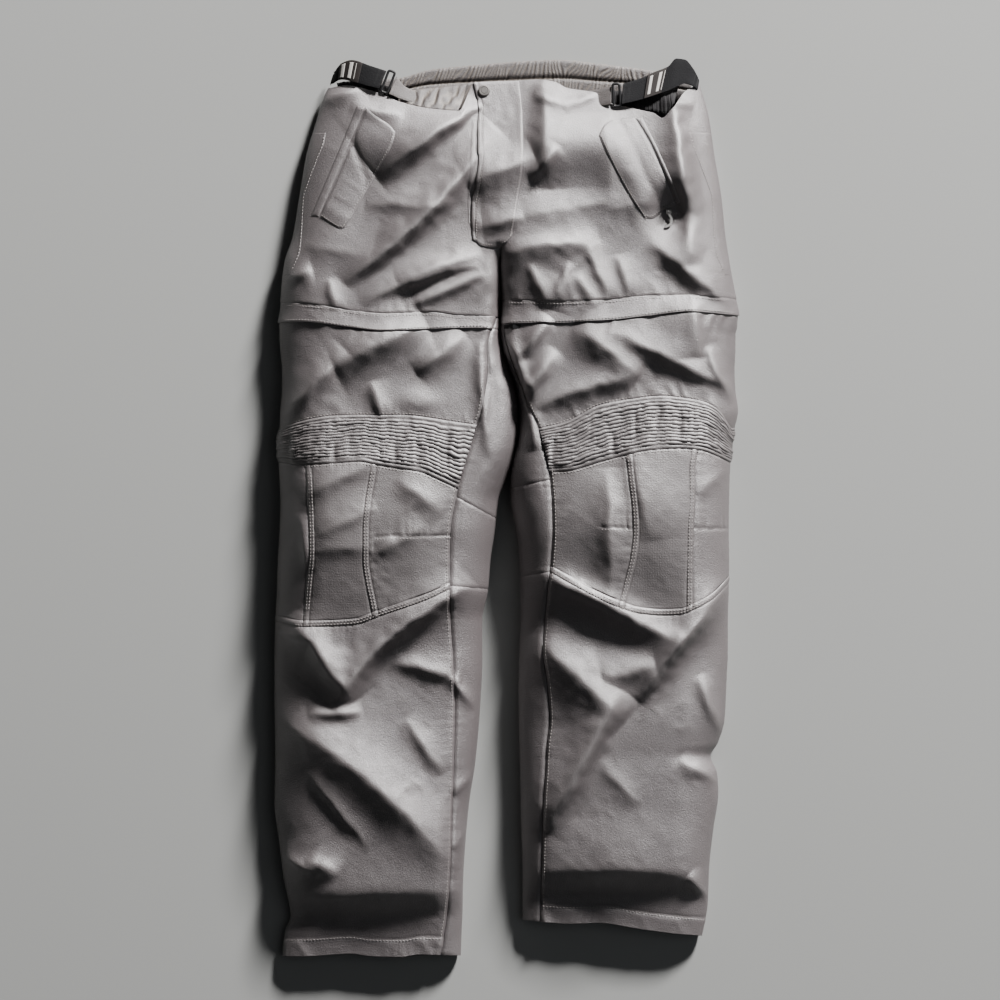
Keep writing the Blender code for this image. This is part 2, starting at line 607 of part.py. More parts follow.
def ribbon(name, edges, span, lengths, thickness, finish, gap=0.0):
    """A strip between two edges of x, drop, height points, from one share of its length to another."""
    t = np.linspace(*span, lengths + 1)
    near, far = along(edges[0], t), along(edges[1], t)
    across = np.linspace(0, 1, 3)[None, :, None]
    points = above_front(near)[:, None] * (1 - across) + above_front(far)[:, None] * across
    out = np.cross(np.gradient(points, axis=0), np.gradient(points, axis=1))
    out /= np.linalg.norm(out, axis=-1, keepdims=True)
    out *= np.sign(out[..., 2].mean())
    return loft_wall(name, points + out * (gap + thickness), points + out * gap, finish)


def build_front(leg):
    """The pieces that show on the front of one side, from the waist to the hem."""
    name = leg.name
    outseam = level(0)
    waist = line_of(RIGHT_WAIST if name == "right" else LEFT_WAIST)
    band_top, band_foot = line_of(BAND_TOP[name]), line_of(BAND_FOOT[name])
    stretch_top, stretch_foot = line_of(STRETCH_TOP[name]), line_of(STRETCH_FOOT[name])
    knee_foot = line_of(KNEE_FOOT[name])
    outer_seam, inner_seam = leg.seam(KNEE_OUTER_SEAM[name]), leg.seam(KNEE_INNER_SEAM[name])

    to_outer, to_inner = spread(outseam, outer_seam, 4), spread(outer_seam, inner_seam, 4)
    to_inseam = spread(inner_seam, leg.inseam, 4)
    whole = to_outer[:-1] + [outer_seam] + to_inner[1:-1] + [inner_seam] + to_inseam[1:]

    def thigh_top(x):
        return band_foot(x) - THIGH_TUCK

    def band_lift(down):
        return BAND_RISE * np.clip(down * 2, 0, 1)

    def ribs(x, drop, down):
        return RIB_HEIGHT * np.abs(np.sin(math.pi * RIB_COUNT * down))

    def hem_ply(x, drop, down):
        return HEM_PLY * (drop > line_of(HEM[name])(x) - HEM_DEPTH)

    cut_piece(f"{name}_front_hip", leg, spread(outseam, leg.inner_edge, 15), waist, band_top, 14, "shell_cloth")
    cut_piece(f"{name}_band_front", leg, spread(outseam, leg.inseam, 14), band_top, band_foot, 3, "shell_cloth",
              lift=band_lift)
    cut_piece(f"{name}_front_thigh", leg, whole, thigh_top, stretch_top, 8, "shell_cloth")
    cut_piece(f"{name}_knee_stretch", leg, whole, stretch_top, stretch_foot, 2 * RIB_COUNT, "stretch_cloth",
              raise_by=ribs, row_step=2)
    cut_piece(f"{name}_knee_side_outer", leg, to_outer, stretch_foot, knee_foot, 9, "shell_cloth")
    cut_piece(f"{name}_knee_centre", leg, to_inner, stretch_foot, knee_foot, 9, "knee_cloth")
    cut_piece(f"{name}_knee_side_inner", leg, to_inseam, stretch_foot, knee_foot, 9, "knee_cloth")
    cut_piece(f"{name}_front_shin", leg, whole, knee_foot, line_of(HEM[name]), 16, "shell_cloth",
              raise_by=hem_ply)


def build_back(leg):
    """The back pieces, flat where they rest, which come round the inner side to the inseam on the front."""
    name = leg.name
    waist, band = level(62), line_of(BAND_TOP[name])
    band_end = line_of(BAND_FOOT[name])
    gusset_top, gusset_foot = line_of(GUSSET_TOP[name]), line_of(GUSSET_FOOT[name])
    cut_piece(f"{name}_back_hip", leg, under_columns(leg, 2, 0), waist, band, 6, "shell_cloth")
    cut_piece(f"{name}_band_back", leg, under_columns(leg, 2, 1), band, band_end, 1, "shell_cloth")
    cut_piece(f"{name}_back_thigh", leg, under_columns(leg, 2, 3), band_end, gusset_top, 10, "shell_cloth")
    cut_piece(f"{name}_back_knee", leg, under_columns(leg, 2, 3), gusset_top, gusset_foot, 5, "shell_cloth")
    cut_piece(f"{name}_back_shin", leg, under_columns(leg, 2, 3), gusset_foot, line_of(HEM[name]), 16,
              "shell_cloth")


def build_pockets(leg):
    """The hand pocket's flap and welt and the long pocket down the side."""
    name = leg.name
    overlay(f"{name}_pocket_flap", FLAPS[name], 5, 9, "shell_cloth",
            lift=lambda u, v: FLAP_BULGE * np.sin(math.pi * u) * np.sin(math.pi * v))
    overlay(f"{name}_pocket_welt", WELTS[name], 1, 9, "shell_cloth")
    edge = leg.seam([(drop, out) for drop, out in SIDE_POCKET_EDGE])
    cut_piece(f"{name}_side_pocket", leg, spread(level(3), edge, 3), level(SIDE_POCKET["top"]),
              level(SIDE_POCKET["foot"]), 8, "shell_cloth",
              lift=lambda down: 0 * down + OVERLAY_GAP + POCKET_WALL, wall=POCKET_WALL)


def build_casing():
    """The gathered casing at the back of the waist, seen from its inner face past the front edge."""
    first, last = CASING_TOP[0][0], CASING_TOP[-1][0]
    start, end = GATHERED_SPAN
    x = np.concatenate([np.linspace(first, start, 5)[:-1], np.linspace(start, end, 2 * GATHER_COUNT + 1),
                        np.linspace(end, last, 5)[1:]])
    share = np.array([row[0] for row in CASING_ROWS])[:, None]
    top = smooth(CASING_TOP, x)[None, :]
    drop = top * (1 - share) + CASING_FOOT * share
    phase = (x[None, :] + GATHER_SLANT * share - start) / (end - start) * GATHER_COUNT
    inside = (x[None, :] > start) & (x[None, :] < end)
    wave = np.where(inside, 0.5 - 0.5 * np.cos(2 * math.pi * phase), 0.3)
    rise = np.array([row[1] for row in CASING_ROWS])[:, None]
    rise = rise + GATHER_HEIGHT * wave * np.array([row[2] for row in CASING_ROWS])[:, None]
    wide = x[None, :] + 0 * drop
    outer = np.stack([wide, TOP - drop, rise], axis=-1)
    inner = np.stack([wide, TOP - drop, 0 * drop], axis=-1)
    loft_wall("back_waist_casing", outer, inner, "shell_cloth", len(CASING_ROWS) - 1, 2)


def build_waist(leg):
    """One side's adjuster: the elastic, the strap, its label, the ring and the tab that holds the ring."""
    name = leg.name

    def gathers(u, v):
        count, height = ELASTIC_GATHERS
        return height * np.cos(2 * math.pi * count * u)

    overlay(f"{name}_side_elastic", SIDE_ELASTIC[name], 14, 1, "elastic", gap=-CLOTH - 1.2, lift=gathers)
    ribbon(f"{name}_waist_strap", STRAP_EDGES[name], (0, 1), 12, WEBBING, "webbing")
    ribbon(f"{name}_strap_label", STRAP_EDGES[name], LABEL_SPAN[name], 4, 1.2, "label", gap=WEBBING + SEAM)
    ribbon(f"{name}_ring_tab", TAB_EDGES[name], (0, 1), 6, WEBBING, "shell_cloth")
    build_ring(name)


def build_ring(name):
    """The ring of a strap: a round wire bent to a rectangle with rounded corners."""
    x, drop, height, turn = RING_PLACE[name]
    centre = above_front(np.array([x, drop, height], float))
    curve = bpy.data.curves.new(f"{name}_strap_ring", "CURVE")
    curve.dimensions = "3D"
    curve.bevel_depth = RING_WIRE * MM
    curve.bevel_resolution = 2
    half = (RING_SIZE[1] / 2 - RING_CORNER, RING_SIZE[0] / 2 - RING_CORNER)
    path = []
    for k, (sx, sy) in enumerate(((1, 1), (-1, 1), (-1, -1), (1, -1))):
        for step in range(RING_CORNER_STEPS + 1):
            angle = math.pi / 2 * (k + step / RING_CORNER_STEPS)
            across, along_it = RING_CORNER * math.cos(angle), RING_CORNER * math.sin(angle)
            path.append((sx * half[0] + across, sy * half[1] + along_it))
    spline = curve.splines.new("POLY")
    spline.points.add(len(path) - 1)
    spline.use_cyclic_u = True
    spin = math.radians(turn)
    for point, (a, b) in zip(spline.points, path):
        px = centre[0] + a * math.cos(spin) - b * math.sin(spin)
        py = centre[1] + a * math.sin(spin) + b * math.cos(spin)
        point.co = (px * MM, py * MM, centre[2] * MM, 1)
    curve.materials.append(cloth_material("ring_plastic"))
    obj = bpy.data.objects.new(f"{name}_strap_ring", curve)
    bpy.data.collections["motorcycle_trousers"].objects.link(obj)


def build_snap():
    """The press button's cap at the top of the fly, a turned disc with a sunk middle."""
    x, drop = SNAP_PLACE
    point, out = front_frame(np.array(x), np.array(drop))
    mesh = bpy.data.meshes.new("fly_snap_cap")
    profile = bmesh.new()
    points = [profile.verts.new((r * MM, 0, z * MM)) for r, z in SNAP_PROFILE]
    for a, b in zip(points, points[1:]):
        profile.edges.new((a, b))
    profile.to_mesh(mesh)
    profile.free()
    cap = add_object("fly_snap_cap", mesh, "snap_metal")
    cap.location = Vector(point + out * SNAP_LIFT) * MM
    cap.rotation_euler = Vector(out).to_track_quat("Z", "Y").to_euler()
    screw = cap.modifiers.new("turn", "SCREW")
    screw.steps = screw.render_steps = 20
    screw.use_merge_vertices = True
    screw.merge_threshold = 0.00001


def helper(name, mesh_maker, place, turn=(0, 0, 0)):
    """A hidden solid that a Boolean joins to a piece or cuts from it. Its mesh is made in millimetres."""
    mesh = bpy.data.meshes.new(name)
    shape = bmesh.new()
    mesh_maker(shape)
    bmesh.ops.scale(shape, vec=(MM, MM, MM), verts=shape.verts)
    shape.to_mesh(mesh)
    shape.free()
    obj = bpy.data.objects.new(name, mesh)
    obj.location = Vector(place) * MM
    obj.rotation_euler = turn
    obj.hide_render = True
    obj.display_type = "WIRE"
    bpy.data.collections["cutters"].objects.link(obj)
    return obj


def box_of(size):
    def make(shape):
        bmesh.ops.create_cube(shape, size=1)
        bmesh.ops.scale(shape, vec=size, verts=shape.verts)

    return make


def rod_of(radius, length, sides=16):
    def make(shape):
        bmesh.ops.create_cone(shape, cap_ends=True, segments=sides, radius1=radius, radius2=radius, depth=length)

    return make


def combine(obj, other, operation):
    step = obj.modifiers.new(other.name, "BOOLEAN")
    step.operation = operation
    step.object = other


def build_pull():
    """The slider of the left hand pocket's zip, and its pull tab, which hangs on a pin across the slider."""
    x, drop = PULL_PIVOT
    floor = above_front(np.array([x, drop, 0.0]))[2] + SLIDER_RISE
    wide, long, thick = SLIDER_SIZE
    y = TOP - drop
    pin_height = floor + thick + EYE_RADIUS + EYE_CLEARANCE
    pivot = (x, y, pin_height)
    across = (0, math.pi / 2, 0)

    mesh = bpy.data.meshes.new("left_zip_slider")
    body = bmesh.new()
    box_of((wide, long, thick))(body)
    bmesh.ops.bevel(body, geom=body.edges, offset=SLIDER_BEVEL, segments=1, affect="EDGES", profile=0.5,
                    material=-1)
    bmesh.ops.scale(body, vec=(MM, MM, MM), verts=body.verts)
    body.to_mesh(mesh)
    body.free()
    slider = add_object("left_zip_slider", mesh, "zip_metal")
    slider.location = Vector((x, y, floor + thick / 2)) * MM
    ear_height = pin_height + EAR_OVER_PIN - floor - thick / 2
    for side in (-1, 1):
        place = (x + side * EAR_OFFSET, y, floor + thick / 2 + ear_height / 2)
        combine(slider, helper(f"slider_ear_{side + 1}", box_of((*EAR_SIZE, ear_height)), place), "UNION")
    combine(slider, helper("slider_pin", rod_of(PIN_RADIUS, PIN_LENGTH, 12), pivot, across), "UNION")

    way = along(PULL_ARM, np.linspace(0, 1, 15))
    run = np.gradient(way, axis=0)
    run /= np.linalg.norm(run, axis=1, keepdims=True)
    side = np.stack([run[:, 1], -run[:, 0]], axis=1) * PULL_WIDTH / 2
    flat = np.stack([way - side, way + side], axis=1)
    upper = np.concatenate([flat, np.full(flat.shape[:2] + (1,), PULL_THICKNESS / 2)], axis=-1)
    lower = upper * (1, 1, -1)
    pull = loft_wall("left_zip_pull", upper, lower, "zip_metal")
    pull.location = Vector(pivot) * MM
    combine(pull, helper("pull_eye", rod_of(EYE_RADIUS, EYE_LENGTH), pivot, across), "UNION")
    combine(pull, helper("pull_bore", rod_of(EYE_BORE, 2 * EYE_LENGTH, 16), pivot, across), "DIFFERENCE")


def clear_scene():
    for obj in list(bpy.data.objects):
        bpy.data.objects.remove(obj, do_unlink=True)
    for name in ("motorcycle_trousers", "cutters"):
        bpy.context.scene.collection.children.link(bpy.data.collections.new(name))


def main():
    clear_scene()
    for leg in LEGS:
        build_front(leg)
        build_back(leg)
        build_pockets(leg)
        build_waist(leg)
    overlay("fly_flap", FLY, 4, 12, "shell_cloth", lift=lambda u, v: FLY_LEFT_RISE * (1 - u) ** 2)
    overlay("fly_underlap", UNDERLAP, 2, 12, "shell_cloth", wall=POCKET_WALL)
    count, height = STRIP_GATHERS
    overlay("right_front_waist_strip", WAIST_STRIP, 12, 2, "shell_cloth", gap=-CLOTH - 0.6,
            lift=lambda u, v: height * np.sin(2 * math.pi * count * u) * np.sin(math.pi * v))
    overlay("left_zip_off_end", ZIP_OFF_END, 2, 1, "zip_black")
    build_casing()
    build_snap()
    build_pull()


main()
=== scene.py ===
"""Motorcycle trousers laid flat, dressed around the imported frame.

Sizes are in millimetres until a mesh is written. Two measures place a point on the cloth: its drop, down from
the topmost point of the waist, and its reach s round a leg, from the outer edge over the front (positive) or
under the back (negative). "right" and "left" are the wearer's.
"""

import logging
import math
from collections.abc import Callable, Sequence
from dataclasses import dataclass, field, replace
from enum import Enum

import bmesh
import bpy
import numpy as np
from mathutils import Matrix, Vector


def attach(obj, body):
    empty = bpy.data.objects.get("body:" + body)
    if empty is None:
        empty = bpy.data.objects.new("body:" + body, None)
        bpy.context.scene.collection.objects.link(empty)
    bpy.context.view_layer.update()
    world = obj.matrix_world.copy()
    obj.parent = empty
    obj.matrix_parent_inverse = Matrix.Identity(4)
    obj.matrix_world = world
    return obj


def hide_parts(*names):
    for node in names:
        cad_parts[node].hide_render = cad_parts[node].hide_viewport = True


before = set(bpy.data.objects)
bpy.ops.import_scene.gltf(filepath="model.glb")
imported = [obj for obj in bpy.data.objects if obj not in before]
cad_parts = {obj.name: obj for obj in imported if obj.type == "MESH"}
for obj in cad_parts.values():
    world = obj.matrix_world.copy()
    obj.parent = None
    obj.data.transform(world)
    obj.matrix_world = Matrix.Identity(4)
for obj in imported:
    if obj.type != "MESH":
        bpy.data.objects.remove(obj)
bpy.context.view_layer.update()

LOG = logging.getLogger("trousers")
BODY = "trousers"

MM = 0.001
TOP = 542.0
CENTRE_FRONT = -9.0
CLOTH = 1.8
SEAM = 0.1
INSEAM_GAP = 0.7
OVERLAY_GAP = 1.0
HEM_DEPTH = 21.0
BAND_RISE = 3.4
THIGH_TUCK = 6.0
SHOULDER = 0.86
SPACING = 2.3
SEAM_GROOVE_WIDTH = 1.8
SEAM_PUCKER = 0.16
# The folded strip beside a seam that is sewn down twice.
STRIP_WIDTH = 6.2
STRIP_RISE = 0.5
CREASE_DEPTH = 1.35
# How far a crease's line wanders, broadly and finely, and how round its crest is.
BROAD_BEND = 3.4
FINE_BEND = 2.4
CREST_ROUND = 0.9
# Where a leg's pieces are measured down: distances out from x = 0.
MID_LEG = 150.0
INNER_LEG = 40.0
# A sheet's declared sizes are never below these: a side, and the area's share of the two sides.
LEAST_SIDE = 10.1
LEAST_SHARE = 0.31
# The rows of stitches on a strip, measured from its seam.
STRIP_ROWS = (1.8, 5.2)
KNEE_FOOT_ROWS = (2.0, 5.2)

Line = Callable[[np.ndarray], np.ndarray]
Rows = Sequence[Sequence[float]]

# Each outline row is a drop, the outer edge, the inner edge and the front inseam, measured out from x = 0.
OUTLINE = ("drop", "outer", "inner", "inseam")
RIGHT_OUTLINE = (
    (26, 206, 9.0, 9), (44, 218, 9.0, 9), (78, 229, 9.0, 9), (120, 241, 9.0, 9), (168, 249, 9.0, 9),
    (216, 257, 9.0, 9), (248, 267, 9.0, 9.2), (282, 271, 9.2, 10), (306, 272, 9.6, 12),
    (324, 273, 9.8, 17), (336, 273, 9.2, 22), (354, 272, 6.6, 25), (378, 270, -1.2, 24),
    (402, 270, -9.4, 27), (426, 272, -12.4, 31), (447, 273, -12.6, 38), (468, 274, -10.2, 44),
    (486, 274, -5.4, 50), (510, 273, 4.0, 57), (534, 272, 12.5, 62), (570, 273, 16.5, 68),
    (606, 275, 22, 69), (642, 276, 25, 69), (678, 278, 32, 68), (726, 279, 32, 65), (774, 279, 34, 63),
    (846, 278, 40, 64), (900, 279, 48, 66), (942, 274, 52, 67), (990, 268, 55, 69), (1036, 260, 56, 73),
    (1056, 267, 57, 76), (1086, 269.5, 58, 81),
)
LEFT_OUTLINE = (
    (26, 228, -8.4, -8), (72, 241, -8.4, -8), (120, 248, -8.4, -8), (168, 256, -8.4, -8),
    (216, 261, -8.4, -8), (248, 266, -8.4, -7.6), (282, 272, -8.4, -7), (306, 276, -8.6, -6),
    (324, 275, -8.8, -5), (336, 273, -8.2, -3.5), (354, 273, -5.6, 1), (378, 272, 2.2, 9),
    (402, 273, 10.4, 18), (426, 276, 13.4, 27), (447, 272, 13.6, 37), (468, 267, 11.2, 43),
    (486, 267, 6.6, 48), (510, 266, 4.6, 51), (534, 265.5, 5.6, 53), (570, 265, 11.5, 54),
    (606, 265.5, 16, 52), (642, 265, 17.4, 48), (684, 264, 17.4, 44), (714, 264, 16.4, 42),
    (750, 262.5, 15, 47), (798, 260, 15.6, 50), (826, 252, 16, 47), (842, 243, 16.5, 46),
    (864, 251, 17, 45), (886, 252.5, 17.5, 43.5), (930, 246.6, 18.5, 42), (978, 241.5, 20, 41),
    (1020, 240, 20, 40), (1060, 232.5, 20, 40),
)
# How high the front stands, how high the outermost point of the side is, and how wide the side rounds over.
SECTION = ("drop", "height", "edge", "roll_out", "roll_in")
SECTIONS = (
    (26, 20, 8, 34, 10), (60, 27, 9, 40, 12), (120, 38, 11, 50, 12), (216, 46, 13, 56, 14),
    (306, 52, 14, 58, 16), (378, 52, 14, 58, 20), (447, 56, 14, 58, 26), (500, 60, 14, 58, 34),
    (560, 63, 14, 58, 42), (640, 58, 14, 58, 42), (720, 48, 13, 56, 40), (840, 46, 13, 54, 40),
    (950, 44, 12, 52, 38), (1000, 38, 11, 46, 34), (1036, 25, 9, 38, 28), (1086, 20, 8, 34, 26),
)
INNER_ROLL = ((0, 0), (238, 0), (258, 0.25), (306, 0.92), (330, 1), (1100, 1))

# Seams across the front: x, drop.
WAIST = {
    "right": ((-212, 38), (-196, 36), (-172, 40), (-150, 47), (-130, 56), (-92, 65), (-58, 68), (-46, 42),
              (-41, 33), (-9, 31)),
    "left": ((-9, 31), (33, 29), (57, 32), (70, 39), (105, 45), (126, 58), (160, 66), (176, 70), (186, 76),
             (198, 64), (214, 42), (230, 33)),
}
BAND_TOP = {
    "right": ((-272, 297), (-240, 299), (-146, 311), (-94, 309), (-56, 313), (-9, 314)),
    "left": ((-9, 294), (63, 296), (106, 295), (182, 289), (220, 289), (276, 293)),
}
BAND_FOOT = {
    "right": ((-272, 321), (-247, 321), (-189, 328), (-150, 333), (-94, 330), (-36, 328), (-17, 329)),
    "left": ((-6, 323), (68, 322), (126, 319), (169, 314), (220, 309), (275, 312)),
}
STRETCH_TOP = {
    "right": ((-271, 450), (-261, 445), (-237, 438), (-210, 434), (-177, 433), (-129, 433), (-57, 442),
              (-36, 445)),
    "left": ((38, 449), (68, 442), (111, 421), (147, 414), (183, 410), (207, 412), (231, 416), (249, 424),
             (267, 448)),
}
STRETCH_FOOT = {
    "right": ((-271, 488), (-249, 491), (-213, 490), (-177, 488), (-153, 492), (-129, 496), (-105, 500),
              (-81, 510), (-60, 520)),
    "left": ((52, 500), (75, 498), (111, 488), (141, 480), (171, 474), (207, 472), (231, 474), (249, 480),
             (267, 488)),
}
KNEE_FOOT = {
    "right": ((-276, 680), (-245, 686), (-213, 685), (-183, 683), (-153, 673), (-117, 661), (-93, 652),
              (-69, 640)),
    "left": ((51, 620), (75, 634), (105, 650), (132, 662), (159, 670), (183, 672), (207, 671), (221, 666),
             (243, 654), (266, 632)),
}
# Seams down the knee: drop, distance out from x = 0.
KNEE_OUTER_SEAM = {
    "right": ((485, 242), (522, 239), (594, 237), (642, 241), (678, 244), (690, 245)),
    "left": ((470, 228), (498, 224), (534, 224), (570, 222), (666, 221), (690, 221)),
}
KNEE_INNER_SEAM = {
    "right": ((485, 155), (510, 159), (534, 163), (570, 166), (606, 166), (630, 163), (654, 158), (680, 153)),
    "left": ((474, 141), (510, 145), (546, 149), (570, 150), (600, 147), (630, 140), (664, 132)),
}
# The darts that shape the knee: x, drop at each end.
DARTS = {
    "right": (((-158, 578), (-69, 576)),),
    "left": (((111, 566), (149, 568)), ((223, 568), (262, 568))),
}
GUSSET_TOP = {"right": ((-62, 530), (-15, 556)), "left": ((5, 520), (49, 510))}
GUSSET_FOOT = {"right": ((-67, 637), (-25, 641)), "left": ((17, 626), (51, 620))}
HEM = {
    "right": ((-270, 1084), (-237, 1083), (-189, 1080), (-165, 1083), (-129, 1084), (-105, 1081),
              (-58, 1083)),
    "left": ((20, 1040), (75, 1044), (111, 1043), (159, 1050), (195, 1055), (233, 1059)),
}

# Each crease runs from left to right, or downwards where it is steep: its two ends, how far it bows upwards,
# how wide its lit upper side and its shaded lower side are, how much it widens on its way, and its height or,
# below zero, its depth.
CREASE = ("x0", "drop0", "x1", "drop1", "bow", "ahead", "behind", "flare", "height")
HIP_CREASES = (
    (-146, 140, -42, 66, 3, 34, 11, -0.5, 16), (-178, 262, -26, 106, -9, 26, 12, 0.35, 16),
    (-124, 270, -40, 240, 0, 15, 9, 0, 6), (-166, 294, -46, 254, 4, 16, 6, 0, 6),
    (-112, 300, -34, 267, 0, 9, 6, 0, 5), (-214, 272, -206, 304, 0, 9, 5, 0, 3),
    (-264, 268, -236, 262, 0, 12, 10, 0, 5), (-164, 180, -86, 182, 0, 22, 10, 0, 4),
    (-230, 56, -176, 42, 0, 6, 12, 0, 5), (-184, 62, -130, 74, 0, 8, 9, 0, 4),
    (-246, 226, -170, 242, 0, 30, 14, 0, 3), (42, 30, 47, 150, 0, 40, 16, 0, 12),
    (30, 146, 58, 114, 0, 9, 8, 0, 6), (196, 50, 217, 236, 2, 15, 34, 0, 14),
    (200, 56, 218, 232, 2, 9, 12, 0, 5), (112, 78, 124, 172, 3, 24, 30, 0, 7),
    (-8, 198, 212, 178, 6, 56, 32, 0, 13), (0, 238, 100, 226, 3, 14, 26, 0, 10),
    (26, 256, 50, 298, 0, 11, 8, 0.5, 4), (74, 254, 56, 302, 0, 12, 8, 0.4, 4),
    (82, 266, 104, 300, 0, 8, 7, 0, 3), (100, 232, 122, 288, -3, 14, 6, 0, 4),
    (134, 244, 146, 286, 0, 12, 6, 0, 3.5), (176, 229, 262, 294, 0, 28, 10, 0, 8),
    (184, 51, 220, 60, 0, 5, 10, 0, 5), (36, 48, 72, 66, 0, 9, 6, 0, 3.5),
    (70, 62, 108, 48, 0, 7, 7, 0, 3.5), (-42, 154, 26, 124, 0, 18, 24, 0, 10),
    (-36, 208, 14, 194, 0, 13, 9, 0, 4), (-9, 232, -7, 318, 0, 12, 9, 0, -9),
)
THIGH_CREASES = (
    (-198, 372, -106, 330, 4, 24, 22, 0, 12), (-266, 432, -200, 362, 0, 18, 13, 0, 10),
    (-104, 378, -56, 340, 0, 12, 12, 0, 7), (-162, 396, -150, 434, 0, 10, 6, 0, 4),
    (-34, 352, -24, 470, 0, 7, 7, 0, 5), (84, 331, 152, 380, 0, 26, 20, 0, 10),
    (36, 420, 160, 381, 0, 18, 11, 0, 7), (130, 337, 268, 401, 2, 20, 10, 0, 7.5),
    (221, 294, 226, 358, 0, 12, 36, 0, 8), (240, 356, 267, 412, 0, 9, 6, 0, 6),
    (14, 360, 48, 320, 0, 10, 9, 0, 7), (16, 414, 54, 360, 0, 12, 10, 0, 8),
    (2, 340, 24, 400, 0, 6, 7, 0, 5), (26, 420, 34, 470, 0, 6, 7, 0, 5),
)
KNEE_CREASES = (
    (-240, 528, -160, 488, 0, 18, 11, 0, 5), (-222, 572, -162, 544, 0, 17, 9, 0, 3),
    (-230, 594, -166, 592, 2, 26, 10, 0, 3), (-160, 602, -136, 582, 0, 8, 7, 0, 2),
    (-128, 510, -80, 547, 0, 16, 12, 0, 3.5), (-148, 596, -102, 566, 0, 12, 8, 0, 2.5),
    (-246, 556, -240, 614, 0, 7, 5, 0, 3.5), (149, 476, 168, 574, 0, 26, 12, 0, 5),
    (121, 510, 123, 648, 0, 24, 15, 0, 8), (228, 526, 262, 498, 0, 9, 8, 0, 3),
    (-200, 768, -56, 643, 12, 28, 11, 0.1, 15), (-254, 680, -189, 766, 0, 22, 15, 0, 13),
    (-280, 688, -242, 706, 0, 12, 9, 0, 5), (-234, 791, -180, 787, 0, 10, 7, 0, 5),
    (-134, 729, -62, 750, 2, 14, 8, 0, 5), (50, 626, 202, 704, 2, 15, 22, 0.2, 13),
    (166, 762, 268, 634, 4, 20, 12, 0.2, 14), (118, 745, 172, 733, 0, 16, 12, 0, 6),
)
SHIN_CREASES = (
    (-262, 802, -74, 962, 10, 36, 31, 0, 15), (-234, 864, -170, 946, 0, 16, 6, 0, 3.5),
    (-280, 960, -234, 978, 0, 12, 12, 0, 7), (-238, 966, -206, 984, 0, 12, 13, 0, 5),
    (-256, 1014, -60, 1002, 4, 44, 27, 0, 6.5), (-120, 802, -80, 856, 0, 12, 8, 0, 4),
    (-66, 748, -44, 782, 0, 5, 6, 0, 4), (-64, 886, -42, 862, 0, 6, 6, 0, 3.5),
    (-66, 950, -44, 926, 0, 5, 5, 0, 3.5), (38, 704, 132, 790, 0, 34, 30, 0, 15),
    (128, 776, 52, 918, 0, 14, 26, 0, 15), (232, 750, 258, 814, 0, 10, 7, 0, 6),
    (210, 847, 256, 875, 0, 11, 8, 0, 6), (112, 850, 152, 898, 0, 12, 9, 0, 2.5),
    (42, 980, 234, 984, 5, 44, 25, 0, 7), (219, 986, 244, 1013, 0, 10, 6, 0, 7),
)
# Swellings where armour or a hollow fold holds the cloth up: middle, half sizes and height.
SWELL = ("x", "drop", "half_x", "half_drop", "height")
SWELLS = (
    (-205, 580, 62, 92, 6), (-112, 590, 44, 70, 4), (186, 570, 44, 92, 7), (92, 572, 44, 62, 4),
    (-208, 820, 55, 60, 3), (170, 830, 60, 70, 3), (-106, 416, 22, 13, 4), (-130, 92, 90, 40, 5),
    (80, 104, 50, 32, 8), (98, 168, 70, 44, -12),
)
# Where the cloth lies level under the zip's slider and pull: middle, half sizes and height.
PULL_REST = {"x": 194, "drop": 194, "half_x": 30, "half_drop": 34, "height": -3.4}

# The hand pockets: the four edges of each flap and of the welt beside it, as x, drop.
FLAPS = {
    "right": {
        "top": ((-169, 64), (-158, 73), (-140, 86), (-134, 94)),
        "foot": ((-224, 195), (-209, 205), (-201, 209), (-195, 208)),
        "left": ((-169, 64), (-224, 195)),
        "right": ((-134, 94), (-137, 107), (-153, 136), (-195, 208)),
    },
    "left": {
        "top": ((109, 98), (117, 84), (135, 77), (152, 76)),
        "foot": ((163, 196), (171, 197), (187, 187), (202, 179)),
        "left": ((109, 98), (117, 116), (147, 172), (163, 196)),
        "right": ((152, 76), (171, 108), (202, 179)),
    },
}
WELTS = {
    "right": {
        "top": ((-180, 61), (-171, 63)),
        "foot": ((-235, 193), (-226, 194.5)),
        "left": ((-180, 61), (-235, 193)),
        "right": ((-171, 63), (-226, 194.5)),
    },
    "left": {
        "top": ((154, 76), (162, 76)),
        "foot": ((204, 178), (208, 176)),
        "left": ((154, 76), (173, 108), (204, 178)),
        "right": ((162, 76), (177, 106), (208, 176)),
    },
}
SIDE_POCKET = {"top": 93, "foot": 264}
SIDE_POCKET_EDGE = ((82, 217), (102, 219), (126, 228), (152, 238), (170, 244), (210, 246), (234, 248),
                    (264, 260))
FLY = {
    "top": ((-41, 32), (-9, 30.5), (15, 30)),
    "foot": ((-42, 222), (-30, 230), (-16, 232), (-3, 228), (6, 218)),
    "left": ((-41, 32), (-36, 60), (-35.5, 130), (-38, 155), (-43, 180), (-42, 222)),
    "right": ((15, 30), (19, 70), (19.5, 115), (18, 140), (14, 165), (6, 218)),
}
UNDERLAP = {
    "top": ((-44, 74), (-37, 74)),
    "foot": ((-47, 206), (-44, 206)),
    "left": ((-44, 74), (-47, 132), (-49, 172), (-47, 206)),
    "right": ((-37, 74), (-37, 130), (-44.5, 178), (-44, 206)),
}
WAIST_STRIP = {
    "top": ((-129, 43), (-100, 38), (-75, 35), (-49, 33)),
    "foot": ((-129, 55.4), (-92, 64.3), (-60, 67.2)),
    "left": ((-129, 43), (-129, 55.4)),
    "right": ((-49, 33), (-52, 46), (-60, 67.2)),
}
